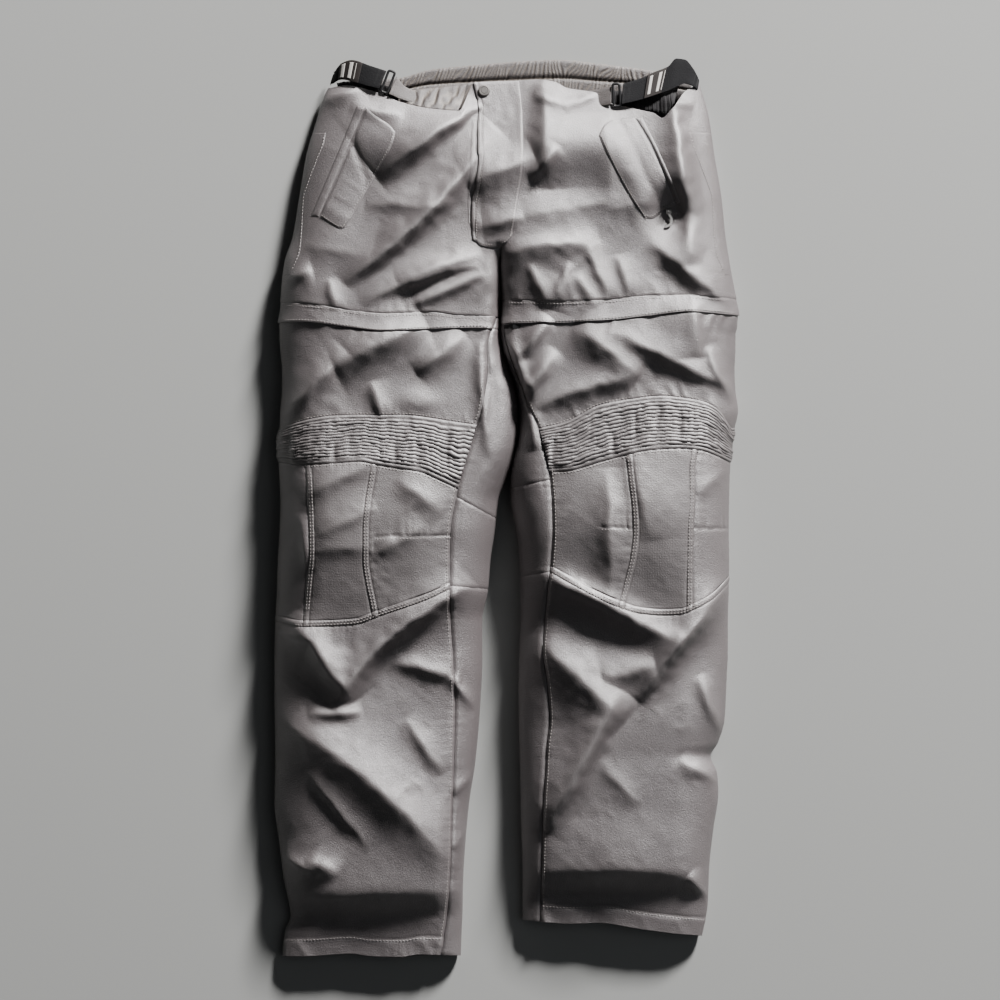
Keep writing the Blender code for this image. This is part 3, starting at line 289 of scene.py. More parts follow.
SIDE_ELASTIC = {
    "right": {
        "top": ((-207, 30), (-180, 28), (-155, 32), (-131, 41)),
        "foot": ((-205, 35.5), (-172, 38.5), (-150, 45.5), (-131, 54)),
        "left": ((-207, 30), (-205, 35.5)),
        "right": ((-131, 41), (-131, 54)),
    },
    "left": {
        "top": ((108, 38), (150, 42), (180, 40), (206, 36)),
        "foot": ((108, 44), (126, 56), (160, 64), (176, 67), (186, 71), (202, 54)),
        "left": ((108, 38), (108, 44)),
        "right": ((206, 36), (202, 54)),
    },
}
CASING_TOP = ((-204, 34), (-170, 31), (-130, 28), (-93, 18), (-45, 13), (15, 8), (63, 6), (111, 11),
              (159, 17), (190, 22), (222, 30))
CASING_FOOT = 61.4
# Down the casing: the share of its depth, its height and how much of the gathers shows there.
CASING_PROFILE = ((0.0, 2.4, 0.5), (0.05, 3.4, 0.9), (0.14, 3.7, 1.0), (0.27, 3.8, 0.9), (0.33, 3.1, 0.6),
                  (0.38, 1.9, 0.2), (0.44, 2.9, 0.7), (0.7, 3.4, 0.8), (1.0, 2.4, 0.3))
GATHERED_SPAN = (-136.0, 176.0)
GATHER_COUNT = 60
GATHER_HEIGHT = 0.95
GATHER_SLANT = 7.0
# Straps at the waist, from the ring round to the side: their two long edges, as x, drop and height above
# the front.
STRAP_EDGES = {
    "right": (
        ((-145.5, 18.5, 9), (-165, 12, 9), (-187, 5, 7), (-199, 9, 5), (-208, 20, 0.9)),
        ((-154, 40, 10), (-170, 36, 9), (-183, 32, 8), (-200, 28, 5), (-213, 34, 0.9)),
    ),
    "left": (
        ((139, 34, 9), (159, 28, 10), (177, 20, 10), (193, 13, 9), (203, 3, 7), (213, 4, 5), (221, 12, 4),
         (230, 28, 1)),
        ((137, 59, 10), (159, 54, 10), (183, 46, 10), (196, 41, 9), (205, 36, 7), (213, 33, 5), (221, 35, 4),
         (228, 40, 1)),
    ),
}
LABEL_SPAN = {"right": (0.42, 0.80), "left": (0.28, 0.50)}
# The pale bars across each label, as shares of the strap's length.
LABEL_BARS = {
    "right": ((0.70, 0.765), (0.565, 0.63), (0.505, 0.515)),
    "left": ((0.315, 0.35), (0.42, 0.455), (0.485, 0.492)),
}
TAB_EDGES = {
    "right": (((-112, 43, 0.8), (-124, 37, 5), (-133.8, 24.8, 9)),
              ((-108, 58, 0.8), (-124, 54, 5), (-142.8, 46.3, 9))),
    "left": (((85, 44, 0.7), (105, 41, 4), (125.0, 37, 9)), ((90, 60, 0.7), (108, 61, 4), (124.8, 59, 9))),
}


def smooth(rows: Rows, x: np.ndarray, column: int = 1) -> np.ndarray:
    """Values on a curve with no overshoot through rows of numbers.

    Args:
        rows: Rows that begin with the place, in rising order.
        x: Where to read the curve.
        column: The column that holds the values.

    Returns:
        The values at x.
    """
    xs = np.array([row[0] for row in rows], float)
    ys = np.array([row[column] for row in rows], float)
    gaps = np.diff(xs)
    slopes = np.diff(ys) / gaps
    product = slopes[:-1] * slopes[1:]
    total = slopes[:-1] + slopes[1:]
    middle = np.where(product > 0, 2 * product / np.where(total == 0, 1, total), 0)
    tangents = np.concatenate([slopes[:1], middle, slopes[-1:]])
    x = np.clip(x, xs[0], xs[-1])
    i = np.clip(np.searchsorted(xs, x, side="right") - 1, 0, len(gaps) - 1)
    t = (x - xs[i]) / gaps[i]
    rise = (3 - 2 * t) * t * t
    lead = t * (1 - t) ** 2 * gaps[i]
    trail = t * t * (t - 1) * gaps[i]
    return ys[i] * (1 - rise) + ys[i + 1] * rise + tangents[i] * lead + tangents[i + 1] * trail


def along(points: Rows, t: np.ndarray) -> np.ndarray:
    """Points on a smooth curve through a short list of points.

    Args:
        points: The points that the curve passes.
        t: Shares of the way along it.

    Returns:
        One point for each share.
    """
    spots = np.array(points, float)
    steps = np.linalg.norm(np.diff(spots, axis=0), axis=1)
    way = np.concatenate([[0], np.cumsum(steps)]) / steps.sum()
    columns = [smooth(np.column_stack([way, spots[:, k]]), t) for k in range(spots.shape[1])]
    return np.stack(columns, axis=-1)


def line_of(rows: Rows) -> Line:
    """A seam across the front, as drop by x."""
    return lambda x: smooth(rows, x)


def level(value: float) -> Line:
    """The same value everywhere."""
    return lambda x: np.full(np.shape(x), float(value))


class LatticeNoise:
    """Smooth noise from a lattice of fixed random values."""

    def __init__(self, seed: int) -> None:
        """Draws the lattice."""
        self.values = np.random.default_rng(seed).random((131, 127))

    def at(self, x: np.ndarray, y: np.ndarray) -> np.ndarray:
        """Noise from 0 to 1 at places given in cells.

        Args:
            x: Places along the lattice.
            y: Places across it.

        Returns:
            The noise there.
        """
        i, j = np.floor(x).astype(int), np.floor(y).astype(int)
        fx, fy = x - i, y - j
        fx, fy = fx * fx * (3 - 2 * fx), fy * fy * (3 - 2 * fy)
        rows, columns = self.values.shape

        def value(a: np.ndarray, b: np.ndarray) -> np.ndarray:
            """The lattice's value at a corner."""
            return self.values[a % rows, b % columns]

        upper = value(i, j) * (1 - fx) + value(i + 1, j) * fx
        lower = value(i, j + 1) * (1 - fx) + value(i + 1, j + 1) * fx
        return upper * (1 - fy) + lower * fy

    def ridged(self, x: np.ndarray, y: np.ndarray) -> np.ndarray:
        """Noise with sharp crests, from 0 to 1."""
        return 1 - np.abs(2 * self.at(x, y) - 1)


SLACK = LatticeNoise(5)
CRINKLE = LatticeNoise(11)
WOBBLE = LatticeNoise(23)


def crease_height(x: np.ndarray, drop: np.ndarray) -> np.ndarray:
    """How far creases and swellings raise the front.

    Args:
        x: Places across the front.
        drop: Their drops.

    Returns:
        Heights in millimetres.
    """
    total = np.zeros(np.broadcast(x, drop).shape)
    bend = BROAD_BEND * (WOBBLE.at(x / 34 + 40, drop / 34) - 0.5)
    bend = bend + FINE_BEND * (SLACK.at(x / 12, drop / 12 + 30) - 0.5)
    for row in HIP_CREASES + THIGH_CREASES + KNEE_CREASES + SHIN_CREASES:
        crease = dict(zip(CREASE, row))
        run = np.array([crease["x1"] - crease["x0"], crease["drop1"] - crease["drop0"]], float)
        length = np.hypot(*run)
        dx, dy = x - crease["x0"], drop - crease["drop0"]
        share = (dx * run[0] + dy * run[1]) / length**2
        away = (dx * run[1] - dy * run[0]) / length - crease["bow"] * 4 * share * (1 - share) + bend
        width = np.where(away > 0, crease["ahead"], crease["behind"])
        width = width * np.clip(1 + crease["flare"] * (2 * share - 1), 0.3, 2)
        ends = np.clip(1 - np.abs(2 * (share + 0.1) / 1.2 - 1) ** 2.2, 0, 1)
        from_crest = np.hypot(away, CREST_ROUND) - CREST_ROUND
        total = total + CREASE_DEPTH * crease["height"] * np.exp(-((from_crest / width) ** 1.3)) * ends
    for row in SWELLS:
        swell = dict(zip(SWELL, row))
        across = (x - swell["x"]) / swell["half_x"]
        down = (drop - swell["drop"]) / swell["half_drop"]
        total = total + swell["height"] * np.exp(-(across**2) - down**2)
    across = (x - PULL_REST["x"]) / PULL_REST["half_x"]
    down = (drop - PULL_REST["drop"]) / PULL_REST["half_drop"]
    still = np.exp(-((across**2 + down**2) ** 1.5))
    return total * (1 - still) + PULL_REST["height"] * still


def wrinkle_height(x: np.ndarray, drop: np.ndarray) -> np.ndarray:
    """The small random slackness and crinkle of coated cloth.

    Args:
        x: Places across the front.
        drop: Their drops.

    Returns:
        Heights in millimetres.
    """
    slack = 2.2 * (SLACK.at(x / 46 + 20, drop / 60) - 0.5)
    lean = x * 0.8 + drop * 0.6
    cross = drop * 0.8 - x * 0.6
    crinkle = CRINKLE.ridged(lean / 22 + 60, cross / 34 + 10) - 0.5
    fine = CRINKLE.ridged(cross / 11 + 7, lean / 15 + 90) - 0.5
    where = SLACK.at(x / 30 + 70, drop / 30 + 5)
    return slack + 1.1 * crinkle * where + 0.5 * fine * where


def pulls(x: np.ndarray, away: np.ndarray, seed: float, height: float = 2.0,
          reach: float = 13.0) -> np.ndarray:
    """Uneven puckers that run out from a seam.

    Args:
        x: Where along the seam.
        away: How far from it.
        seed: Which part of the noise to use.
        height: The puckers' height.
        reach: How far they run.

    Returns:
        Heights.
    """
    lean = x + 0.35 * away
    pucker = CRINKLE.ridged(lean / 13 + seed, away / 70 + seed) - 0.45
    strength = 0.3 + 1.2 * WOBBLE.at(x / 45 + seed, seed)
    return height * pucker * strength * np.exp(-away / reach) * np.clip(away / 2, 0, 1)


@dataclass(frozen=True)
class Shape:
    """The sizes of a leg's section: edges, radii of its sides, width and lengths of its front and back."""

    outer: np.ndarray
    inner: np.ndarray
    turn: np.ndarray
    roll_out: np.ndarray
    roll_in: np.ndarray
    edge: np.ndarray
    edge_in: np.ndarray
    width: np.ndarray
    front: np.ndarray
    back: np.ndarray


@dataclass(frozen=True)
class Leg:
    """One side of the trousers, from the waist to the hem."""

    name: str
    sign: int
    outline: Rows
    short_by: float

    def edge_at(self, column: str, drop: np.ndarray) -> np.ndarray:
        """One column of the outline."""
        return smooth(self.outline, drop, OUTLINE.index(column))

    def section_at(self, column: str, drop: np.ndarray) -> np.ndarray:
        """One column of the sections."""
        lower = np.clip((np.asarray(drop, float) - 600) / 400, 0, 1)
        return smooth(SECTIONS, drop + self.short_by * lower, SECTION.index(column))

    def shape(self, drop: np.ndarray) -> Shape:
        """The sizes of the leg's sections.

        Args:
            drop: How far down the sections lie.

        Returns:
            Their sizes.
        """
        outer, inner = self.edge_at("outer", drop), self.edge_at("inner", drop)
        turn = smooth(INNER_ROLL, drop)
        roll_out = self.section_at("roll_out", drop)
        roll_in = np.maximum(self.section_at("roll_in", drop) * turn, 0.05)
        edge = self.section_at("edge", drop)
        edge_in = np.maximum(edge * turn, 0.05)
        width = outer - inner
        front = width + (roll_out + roll_in) * (math.pi / 2 - 1)
        back = width + (edge + edge_in) * (math.pi / 2 - 1)
        return Shape(outer, inner, turn, roll_out, roll_in, edge, edge_in, width, front, back)

    def front_x(self, shape: Shape, s: np.ndarray) -> tuple[np.ndarray, np.ndarray, np.ndarray]:
        """Where the front lies at a reach: x, its depth in from the outer edge, and how much it lies on top.

        Args:
            shape: The section's sizes.
            s: The reach over the front.

        Returns:
            x, the share of the width and the fade towards both sides.
        """
        lean_out = np.clip(s / shape.roll_out, 0, math.pi / 2)
        lean_in = np.clip((shape.front - s) / shape.roll_in, 0, math.pi / 2)
        depth = shape.roll_out + s - shape.roll_out * math.pi / 2
        depth = np.where(lean_out < math.pi / 2, shape.roll_out * (1 - np.cos(lean_out)), depth)
        depth = np.where(lean_in < math.pi / 2, shape.width - shape.roll_in * (1 - np.cos(lean_in)), depth)
        fade = np.sin(lean_out) * (1 - shape.turn * (1 - np.sin(lean_in)))
        return self.sign * (shape.outer - depth), np.clip(depth / shape.width, 0, 1), fade

    def back_x(self, shape: Shape, s: np.ndarray) -> tuple[np.ndarray, np.ndarray]:
        """Where the back lies at a reach.

        Args:
            shape: The section's sizes.
            s: The reach under the back.

        Returns:
            x and z.
        """
        lean_out = np.clip(s / shape.edge, 0, math.pi / 2)
        lean_in = np.clip((shape.back - s) / shape.edge_in, 0, math.pi / 2)
        x = shape.outer - shape.edge - (s - shape.edge * math.pi / 2)
        x = np.where(lean_out < math.pi / 2, shape.outer - shape.edge * (1 - np.cos(lean_out)), x)
        x = np.where(lean_in < math.pi / 2, shape.inner + shape.edge_in * (1 - np.cos(lean_in)), x)
        z = np.maximum(shape.edge * (1 - np.sin(lean_out)), shape.edge_in * (1 - np.sin(lean_in)))
        return self.sign * x, z

    def x_at(self, drop: np.ndarray, s: np.ndarray) -> np.ndarray:
        """Where points of the outer face lie across, which needs no heights.

        Args:
            drop: How far down the points lie.
            s: Their reach round the leg.

        Returns:
            The points' x.
        """
        shape = self.shape(drop)
        over = np.where(s < -shape.back, shape.front + shape.back + s, s)
        under = (s < 0) & (s >= -shape.back)
        x_front = self.front_x(shape, np.maximum(over, 0))[0]
        return np.where(under, self.back_x(shape, np.maximum(-s, 0))[0], x_front)

    def point(self, drop: np.ndarray, s: np.ndarray, creased: bool = True) -> np.ndarray:
        """Points of the outer face.

        Args:
            drop: How far down they lie.
            s: Their reach round the leg.
            creased: False leaves the creases out, as on the flat cut.

        Returns:
            An array whose last axis is x, y, z.
        """
        drop, s = np.broadcast_arrays(np.asarray(drop, float), np.asarray(s, float))
        shape = self.shape(drop)
        over = np.where(s < -shape.back, shape.front + shape.back + s, s)
        x_front, share, fade = self.front_x(shape, np.maximum(over, 0))
        dome = SHOULDER + (1 - SHOULDER) * np.sin(math.pi * share * (1 + shape.turn) / 2)
        rise = self.section_at("height", drop) * dome - shape.edge
        if creased:
            rise = rise + crease_height(x_front, drop) + wrinkle_height(x_front, drop)
        x_back, z_back = self.back_x(shape, np.maximum(-s, 0))
        under = (s < 0) & (s >= -shape.back)
        x = np.where(under, x_back, x_front)
        z = np.where(under, z_back, shape.edge + rise * fade)
        return np.stack([x, TOP - drop, z], axis=-1)

    def reach_of(self, x: np.ndarray, drop: np.ndarray) -> np.ndarray:
        """The reach of points of the front.

        Args:
            x: Places across the front.
            drop: Their drops.

        Returns:
            The reach s over the front.
        """
        shape = self.shape(drop)
        depth = np.clip(shape.outer - self.sign * x, 0, shape.width)
        s = depth + shape.roll_out * (math.pi / 2 - 1)
        lean = np.arccos(np.clip(1 - depth / shape.roll_out, -1, 1))
        s = np.where(depth < shape.roll_out, shape.roll_out * lean, s)
        left = shape.width - depth
        lean = np.arccos(np.clip(1 - left / shape.roll_in, -1, 1))
        return np.where(left < shape.roll_in, shape.front - shape.roll_in * lean, s)

    def inseam(self, drop: np.ndarray) -> np.ndarray:
        """The reach of the inseam, where the front meets the back piece."""
        return self.reach_of(self.sign * self.edge_at("inseam", drop), drop)

    def inner_edge(self, drop: np.ndarray) -> np.ndarray:
        """The reach of the innermost point."""
        return self.shape(drop).front

    def seam(self, rows: Rows) -> Line:
        """A seam down the front, given as rows of drop and distance out."""
        return lambda drop: self.reach_of(self.sign * smooth(rows, drop), drop)


LEGS = {"right": Leg("right", -1, RIGHT_OUTLINE, 0), "left": Leg("left", 1, LEFT_OUTLINE, 24)}


def normals_of(points: np.ndarray) -> np.ndarray:
    """Unit directions square to a grid of points.

    Args:
        points: The grid, row by column.

    Returns:
        One direction for each point.
    """
    down, across = np.gradient(points, axis=0), np.gradient(points, axis=1)
    out = np.cross(across, down)
    return out / np.maximum(np.linalg.norm(out, axis=-1, keepdims=True), 1e-9)


def front_at(x: np.ndarray, drop: np.ndarray) -> np.ndarray:
    """Points of the front at places given by x and drop, on either side."""
    points = {name: leg.point(drop, leg.reach_of(x, drop)) for name, leg in LEGS.items()}
    return np.where((x > CENTRE_FRONT)[..., None], points["left"], points["right"])


def shares_of(length: float, spacing: float) -> np.ndarray:
    """Shares of a length, close together at both ends so that seams stay crisp.

    Args:
        length: The length in millimetres.
        spacing: How far apart the middle ones are.

    Returns:
        Shares from 0 to 1 in rising order.
    """
    close = np.array([0.6, 1.4, 2.6, 4.2, 5.6, 6.4, 7.3, 8.6]) / length
    inside = np.linspace(0, 1, max(3, round(length / spacing)) + 1)
    inside = inside[(inside > close[-1] + 0.4 / length) & (inside < 1 - close[-1] - 0.4 / length)]
    if length < 24:
        return np.linspace(0, 1, max(4, round(length / min(spacing, 1.2))) + 1)
    return np.concatenate([[0], close, inside, 1 - close[::-1], [1]])


class Edge(Enum):
    """The edges of a cut piece."""

    TOP = 1
    FOOT = 2
    FIRST = 3
    LAST = 4


SEWN = {Edge.TOP: 0.7, Edge.FOOT: 0.7, Edge.FIRST: 0.7, Edge.LAST: 0.7}
INSEAM = {Edge.FOOT: 0.35, Edge.FIRST: 0.5, Edge.LAST: 2.0}


class Weave(Enum):
    """How the threads of a finish lie."""

    PLAIN = "plain"
    BALLISTIC = "ballistic"
    RIBBED = "ribbed"
    WEBBING = "webbing"
    NONE = "none"


class Groups:
    """The shader node groups that several finishes share."""

    made: dict[str, bpy.types.NodeTree] = {}

    @staticmethod
    def start(name: str, inputs: dict[str, str],
              outputs: dict[str, str]) -> tuple[bpy.types.NodeTree, bpy.types.Node, bpy.types.Node]:
        """An empty group with its sockets.

        Args:
            name: The group's name.
            inputs: Socket kinds by name.
            outputs: Socket kinds by name.

        Returns:
            The group, its input node and its output node.
        """
        group = bpy.data.node_groups.new(name, "ShaderNodeTree")
        for label, kind in inputs.items():
            group.interface.new_socket(label, in_out="INPUT", socket_type=kind)
        for label, kind in outputs.items():
            group.interface.new_socket(label, in_out="OUTPUT", socket_type=kind)
        Groups.made[name] = group
        return group, group.nodes.new("NodeGroupInput"), group.nodes.new("NodeGroupOutput")

    @staticmethod
    def math(group: bpy.types.NodeTree, operation: str, *values: object) -> bpy.types.NodeSocket:
        """A Math node on sockets or numbers.

        Args:
            group: The tree that it goes into.
            operation: What it works out.
            values: A socket or a number for each input.

        Returns:
            The node's output.
        """
        node = group.nodes.new("ShaderNodeMath")
        node.operation = operation
        for socket, value in zip(node.inputs, values):
            if isinstance(value, bpy.types.NodeSocket):
                group.links.new(value, socket)
            else:
                socket.default_value = value
        return node.outputs[0]

    @classmethod
    def threads(cls) -> bpy.types.NodeTree:
        """Crossing threads as a height, from a place on the flat cloth.

        Returns:
            The group, made once.
        """
        if "crossing_threads" in cls.made:
            return cls.made["crossing_threads"]
        sockets = {"Place": "NodeSocketVector", "Turn": "NodeSocketFloat", "Across": "NodeSocketFloat",
                   "Down": "NodeSocketFloat"}
        group, given, out = cls.start("crossing_threads", sockets, {"Height": "NodeSocketFloat"})
        turned = group.nodes.new("ShaderNodeVectorRotate")
        turned.rotation_type = "Z_AXIS"
        group.links.new(given.outputs["Place"], turned.inputs["Vector"])
        group.links.new(given.outputs["Turn"], turned.inputs["Angle"])
        split = group.nodes.new("ShaderNodeSeparateXYZ")
        group.links.new(turned.outputs["Vector"], split.inputs[0])
        waves = []
        for axis, count in (("X", "Across"), ("Y", "Down")):
            turns = cls.math(group, "MULTIPLY", split.outputs[axis], given.outputs[count])
            waves.append(cls.math(group, "SINE", cls.math(group, "MULTIPLY", turns, 2 * math.pi)))
        crossed = cls.math(group, "MULTIPLY", waves[0], waves[1])
        group.links.new(cls.math(group, "MULTIPLY_ADD", crossed, 0.5, 0.5), out.inputs["Height"])
        return group

    @classmethod
    def ribs(cls) -> bpy.types.NodeTree:
        """Round ribs side by side as a height, broken by threads across them.

        Returns:
            The group, made once.
        """
        if "round_ribs" in cls.made:
            return cls.made["round_ribs"]
        sockets = {"Place": "NodeSocketVector", "Count": "NodeSocketFloat", "Threads": "NodeSocketFloat"}
        group, given, out = cls.start("round_ribs", sockets, {"Height": "NodeSocketFloat"})
        split = group.nodes.new("ShaderNodeSeparateXYZ")
        group.links.new(given.outputs["Place"], split.inputs[0])
        half_turns = cls.math(group, "MULTIPLY", split.outputs["X"], given.outputs["Count"])
        half_turns = cls.math(group, "MULTIPLY", half_turns, math.pi)
        round_rib = cls.math(group, "ABSOLUTE", cls.math(group, "SINE", half_turns))
        thread = cls.math(group, "MULTIPLY", split.outputs["Y"], given.outputs["Threads"])
        thread = cls.math(group, "SINE", cls.math(group, "MULTIPLY", thread, 2 * math.pi))
        group.links.new(cls.math(group, "MULTIPLY_ADD", thread, 0.2, round_rib), out.inputs["Height"])
        return group

    @classmethod
    def mottle(cls) -> bpy.types.NodeTree:
        """Broad and fine unevenness of a surface, as two masks.

        Returns:
            The group, made once.
        """
        if "mottle" in cls.made:
            return cls.made["mottle"]
        sockets = {"Place": "NodeSocketVector", "Broad": "NodeSocketFloat", "Fine": "NodeSocketFloat"}
        outputs = {"Broad": "NodeSocketFloat", "Fine": "NodeSocketFloat"}
        group, given, out = cls.start("mottle", sockets, outputs)
        for label, detail in (("Broad", 4.0), ("Fine", 2.0)):
            noise = group.nodes.new("ShaderNodeTexNoise")
            noise.inputs["Detail"].default_value = detail
            group.links.new(given.outputs["Place"], noise.inputs["Vector"])
            group.links.new(given.outputs[label], noise.inputs["Scale"])
            spread = group.nodes.new("ShaderNodeMapRange")
            spread.inputs["From Min"].default_value = 0.3
            spread.inputs["From Max"].default_value = 0.7
            group.links.new(noise.outputs["Fac"], spread.inputs["Value"])
            group.links.new(spread.outputs["Result"], out.inputs[label])
        return group

    @classmethod
    def wear_and_highlight(cls) -> bpy.types.NodeTree:
        """Painted highlight and rubbing on ridges and edges: a piece's own ridge mask, broken up by fine
        noise.

        Returns:
            The group, made once.
        """
        if "highlit_rubbed_ridges" in cls.made:
            return cls.made["highlit_rubbed_ridges"]
        sockets = {"Wear": "NodeSocketFloat", "Noise": "NodeSocketFloat", "Strength": "NodeSocketFloat"}
        group, given, out = cls.start("highlit_rubbed_ridges", sockets, {"Mask": "NodeSocketFloat"})
        broken = cls.math(group, "MULTIPLY_ADD", given.outputs["Noise"], 0.6, 0.5)
        rubbed_and_highlit = cls.math(group, "MULTIPLY", given.outputs["Wear"], broken)
        limited = group.nodes.new("ShaderNodeClamp")
        rubbed_and_highlit = cls.math(group, "MULTIPLY", rubbed_and_highlit, given.outputs["Strength"])
        group.links.new(rubbed_and_highlit, limited.inputs["Value"])
        group.links.new(limited.outputs["Result"], out.inputs["Mask"])
        return group


@dataclass(frozen=True)
class Finish:
    """A finish of the trousers and the numbers that its shader takes."""

    slot: str
    colour: tuple[float, float, float]
    shade: tuple[float, float, float]
    # The pale colour mixed in on ridges and edges: painted highlight for the sheen that they catch, and
    # rubbing.
    worn_and_highlit: tuple[float, float, float]
    roughness: float
    roughness_spread: float = 0.08
    metallic: float = 0.0
    weave: Weave = Weave.PLAIN
    threads: float = 1100.0
    weave_depth: float = 0.12
    grain: float = 620.0
    grain_depth: float = 0.16
    broad: float = 9.0
    sheen: float = 0.0
    specular: float = 0.5
    ior: float = 1.5
    # How strongly the painted ridge highlight and rubbing show.
    wear_and_highlight: float = 0.5

    def material(self) -> bpy.types.Material:
        """The finish's material, made once."""
        known = bpy.data.materials.get(f"{self.slot}_finish")
        return known or self.dress(bpy.data.materials.new(f"{self.slot}_finish"))

    def put_group(self, tree: bpy.types.NodeTree, group: bpy.types.NodeTree,
                  **values: object) -> bpy.types.Node:
        """A shared group placed in the material.

        Args:
            tree: The material's tree.
            group: The group to place.
            values: A number or a socket for each input.

        Returns:
            The group's node.
        """
        node = tree.nodes.new("ShaderNodeGroup")
        node.node_tree = group
        for label, value in values.items():
            if isinstance(value, bpy.types.NodeSocket):
                tree.links.new(value, node.inputs[label])
            else:
                node.inputs[label].default_value = value
        return node

    def thread_height(self, tree: bpy.types.NodeTree,
                      place: bpy.types.NodeSocket) -> bpy.types.NodeSocket | None:
        """The height of the weave.

        Args:
            tree: The material's tree.
            place: Where a point lies on the flat cloth.

        Returns:
            The height's socket, or None on a smooth finish.
        """
        if self.weave is Weave.NONE:
            return None
        if self.weave is Weave.RIBBED:
            node = self.put_group(tree, Groups.ribs(), Place=place, Count=self.threads,
                                  Threads=self.threads * 2)
            return node.outputs["Height"]
        turn = {Weave.BALLISTIC: math.pi / 4, Weave.WEBBING: 0.5}.get(self.weave, 0.0)
        down = self.threads * (0.5 if self.weave is Weave.WEBBING else 1.0)
        node = self.put_group(tree, Groups.threads(), Place=place, Turn=turn, Across=self.threads,
                              Down=down)
        return node.outputs["Height"]

    def mix(self, tree: bpy.types.NodeTree, factor: bpy.types.NodeSocket, first: object,
            second: object) -> bpy.types.NodeSocket:
        """A colour between two.

        Args:
            tree: The material's tree.
            factor: How much of the second colour shows.
            first: The first colour, or its socket.
            second: The second colour, or its socket.

        Returns:
            The mixed colour's socket.
        """
        node = tree.nodes.new("ShaderNodeMix")
        node.data_type = "RGBA"
        tree.links.new(factor, node.inputs["Factor"])
        for label, value in (("A", first), ("B", second)):
            socket = next(s for s in node.inputs if s.name == label and s.type == "RGBA")
            if isinstance(value, bpy.types.NodeSocket):
                tree.links.new(value, socket)
            else:
                socket.default_value = (*value, 1)
        return next(s for s in node.outputs if s.type == "RGBA")

    def bump(self, tree: bpy.types.NodeTree, height: bpy.types.NodeSocket, depth: float,
             before: bpy.types.NodeSocket | None) -> bpy.types.NodeSocket:
        """A Bump node, after another's where there is one.

        Args:
            tree: The material's tree.
            height: The height's socket, from 0 to 1.
            depth: The full depth in millimetres.
            before: Another bump's normal, if there is one.

        Returns:
            The bumped normal's socket.
        """
        node = tree.nodes.new("ShaderNodeBump")
        node.inputs["Distance"].default_value = depth * MM
        tree.links.new(height, node.inputs["Height"])
        if before is not None:
            tree.links.new(before, node.inputs["Normal"])
        return node.outputs["Normal"]

    def dress(self, material: bpy.types.Material) -> bpy.types.Material:
        """Fills a material's tree.

        Args:
            material: A new material.

        Returns:
            The same material.
        """
        material.use_nodes = True
        tree = material.node_tree
        shader = tree.nodes["Principled BSDF"]
        shader.inputs["Metallic"].default_value = self.metallic
        shader.inputs["Specular IOR Level"].default_value = self.specular
        shader.inputs["IOR"].default_value = self.ior
        shader.inputs["Sheen Weight"].default_value = self.sheen
        shader.inputs["Sheen Roughness"].default_value = 0.4
        place = tree.nodes.new("ShaderNodeTexCoord")
        flat = place.outputs["UV"] if self.weave is not Weave.NONE else place.outputs["Object"]
        # Ridges and edges are mixed towards the pale colour by the piece's ridge mask: painted highlight and
        # rubbing.
        worn_and_highlit = tree.nodes.new("ShaderNodeAttribute")
        worn_and_highlit.attribute_name = "wear_and_highlight"
        mottle = self.put_group(tree, Groups.mottle(), Place=place.outputs["Object"], Broad=self.broad,
                                Fine=self.grain)
        rubbed_and_highlit = self.put_group(tree, Groups.wear_and_highlight(), Wear=worn_and_highlit.outputs["Fac"], Noise=mottle.outputs["Fine"],
                                Strength=self.wear_and_highlight)
        speckle = Groups.math(tree, "MULTIPLY", mottle.outputs["Fine"], 0.55)
        speckle = Groups.math(tree, "MULTIPLY_ADD", mottle.outputs["Broad"], 0.45, speckle)
        uneven = self.mix(tree, speckle, self.colour, self.shade)
        tree.links.new(self.mix(tree, rubbed_and_highlit.outputs["Mask"], uneven, self.worn_and_highlit), shader.inputs["Base Color"])
        rough = Groups.math(tree, "MULTIPLY_ADD", mottle.outputs["Broad"], self.roughness_spread,
                            self.roughness - self.roughness_spread / 2)
        rough = Groups.math(tree, "MULTIPLY_ADD", rubbed_and_highlit.outputs["Mask"], -0.08, rough)
        tree.links.new(rough, shader.inputs["Roughness"])
        normal = self.bump(tree, mottle.outputs["Fine"], self.grain_depth, None)
        threads = self.thread_height(tree, flat)
        if threads is not None:
            normal = self.bump(tree, threads, self.weave_depth, normal)
        tree.links.new(normal, shader.inputs["Normal"])
        return material


SHELL = Finish("shell_cloth", (0.104, 0.087, 0.089), (0.071, 0.059, 0.061), (0.15, 0.135, 0.135), 0.50,
               specular=1.0, ior=1.8)
KNEE = Finish("knee_cloth", (0.098, 0.084, 0.085), (0.066, 0.056, 0.057), (0.14, 0.126, 0.126), 0.54,
              weave=Weave.BALLISTIC, threads=360.0, weave_depth=0.07, specular=1.0, ior=1.75)
KNEE_SIDE = replace(KNEE, slot="knee_side_cloth", weave=Weave.PLAIN, threads=1100.0, roughness=0.5, ior=1.8)
STRETCH = Finish("stretch_cloth", (0.092, 0.079, 0.080), (0.062, 0.053, 0.054), (0.14, 0.126, 0.126), 0.54,
                 threads=900.0, weave_depth=0.1, specular=1.0, ior=1.7)
ELASTIC = Finish("elastic", (0.022, 0.021, 0.022), (0.016, 0.015, 0.016), (0.04, 0.04, 0.04), 0.85,
                 weave=Weave.RIBBED, threads=420.0, weave_depth=0.3, specular=0.15)
WEBBING = Finish("webbing", (0.012, 0.012, 0.013), (0.008, 0.008, 0.009), (0.04, 0.04, 0.04), 0.70,
                 weave=Weave.WEBBING, threads=700.0, weave_depth=0.2, specular=0.12)
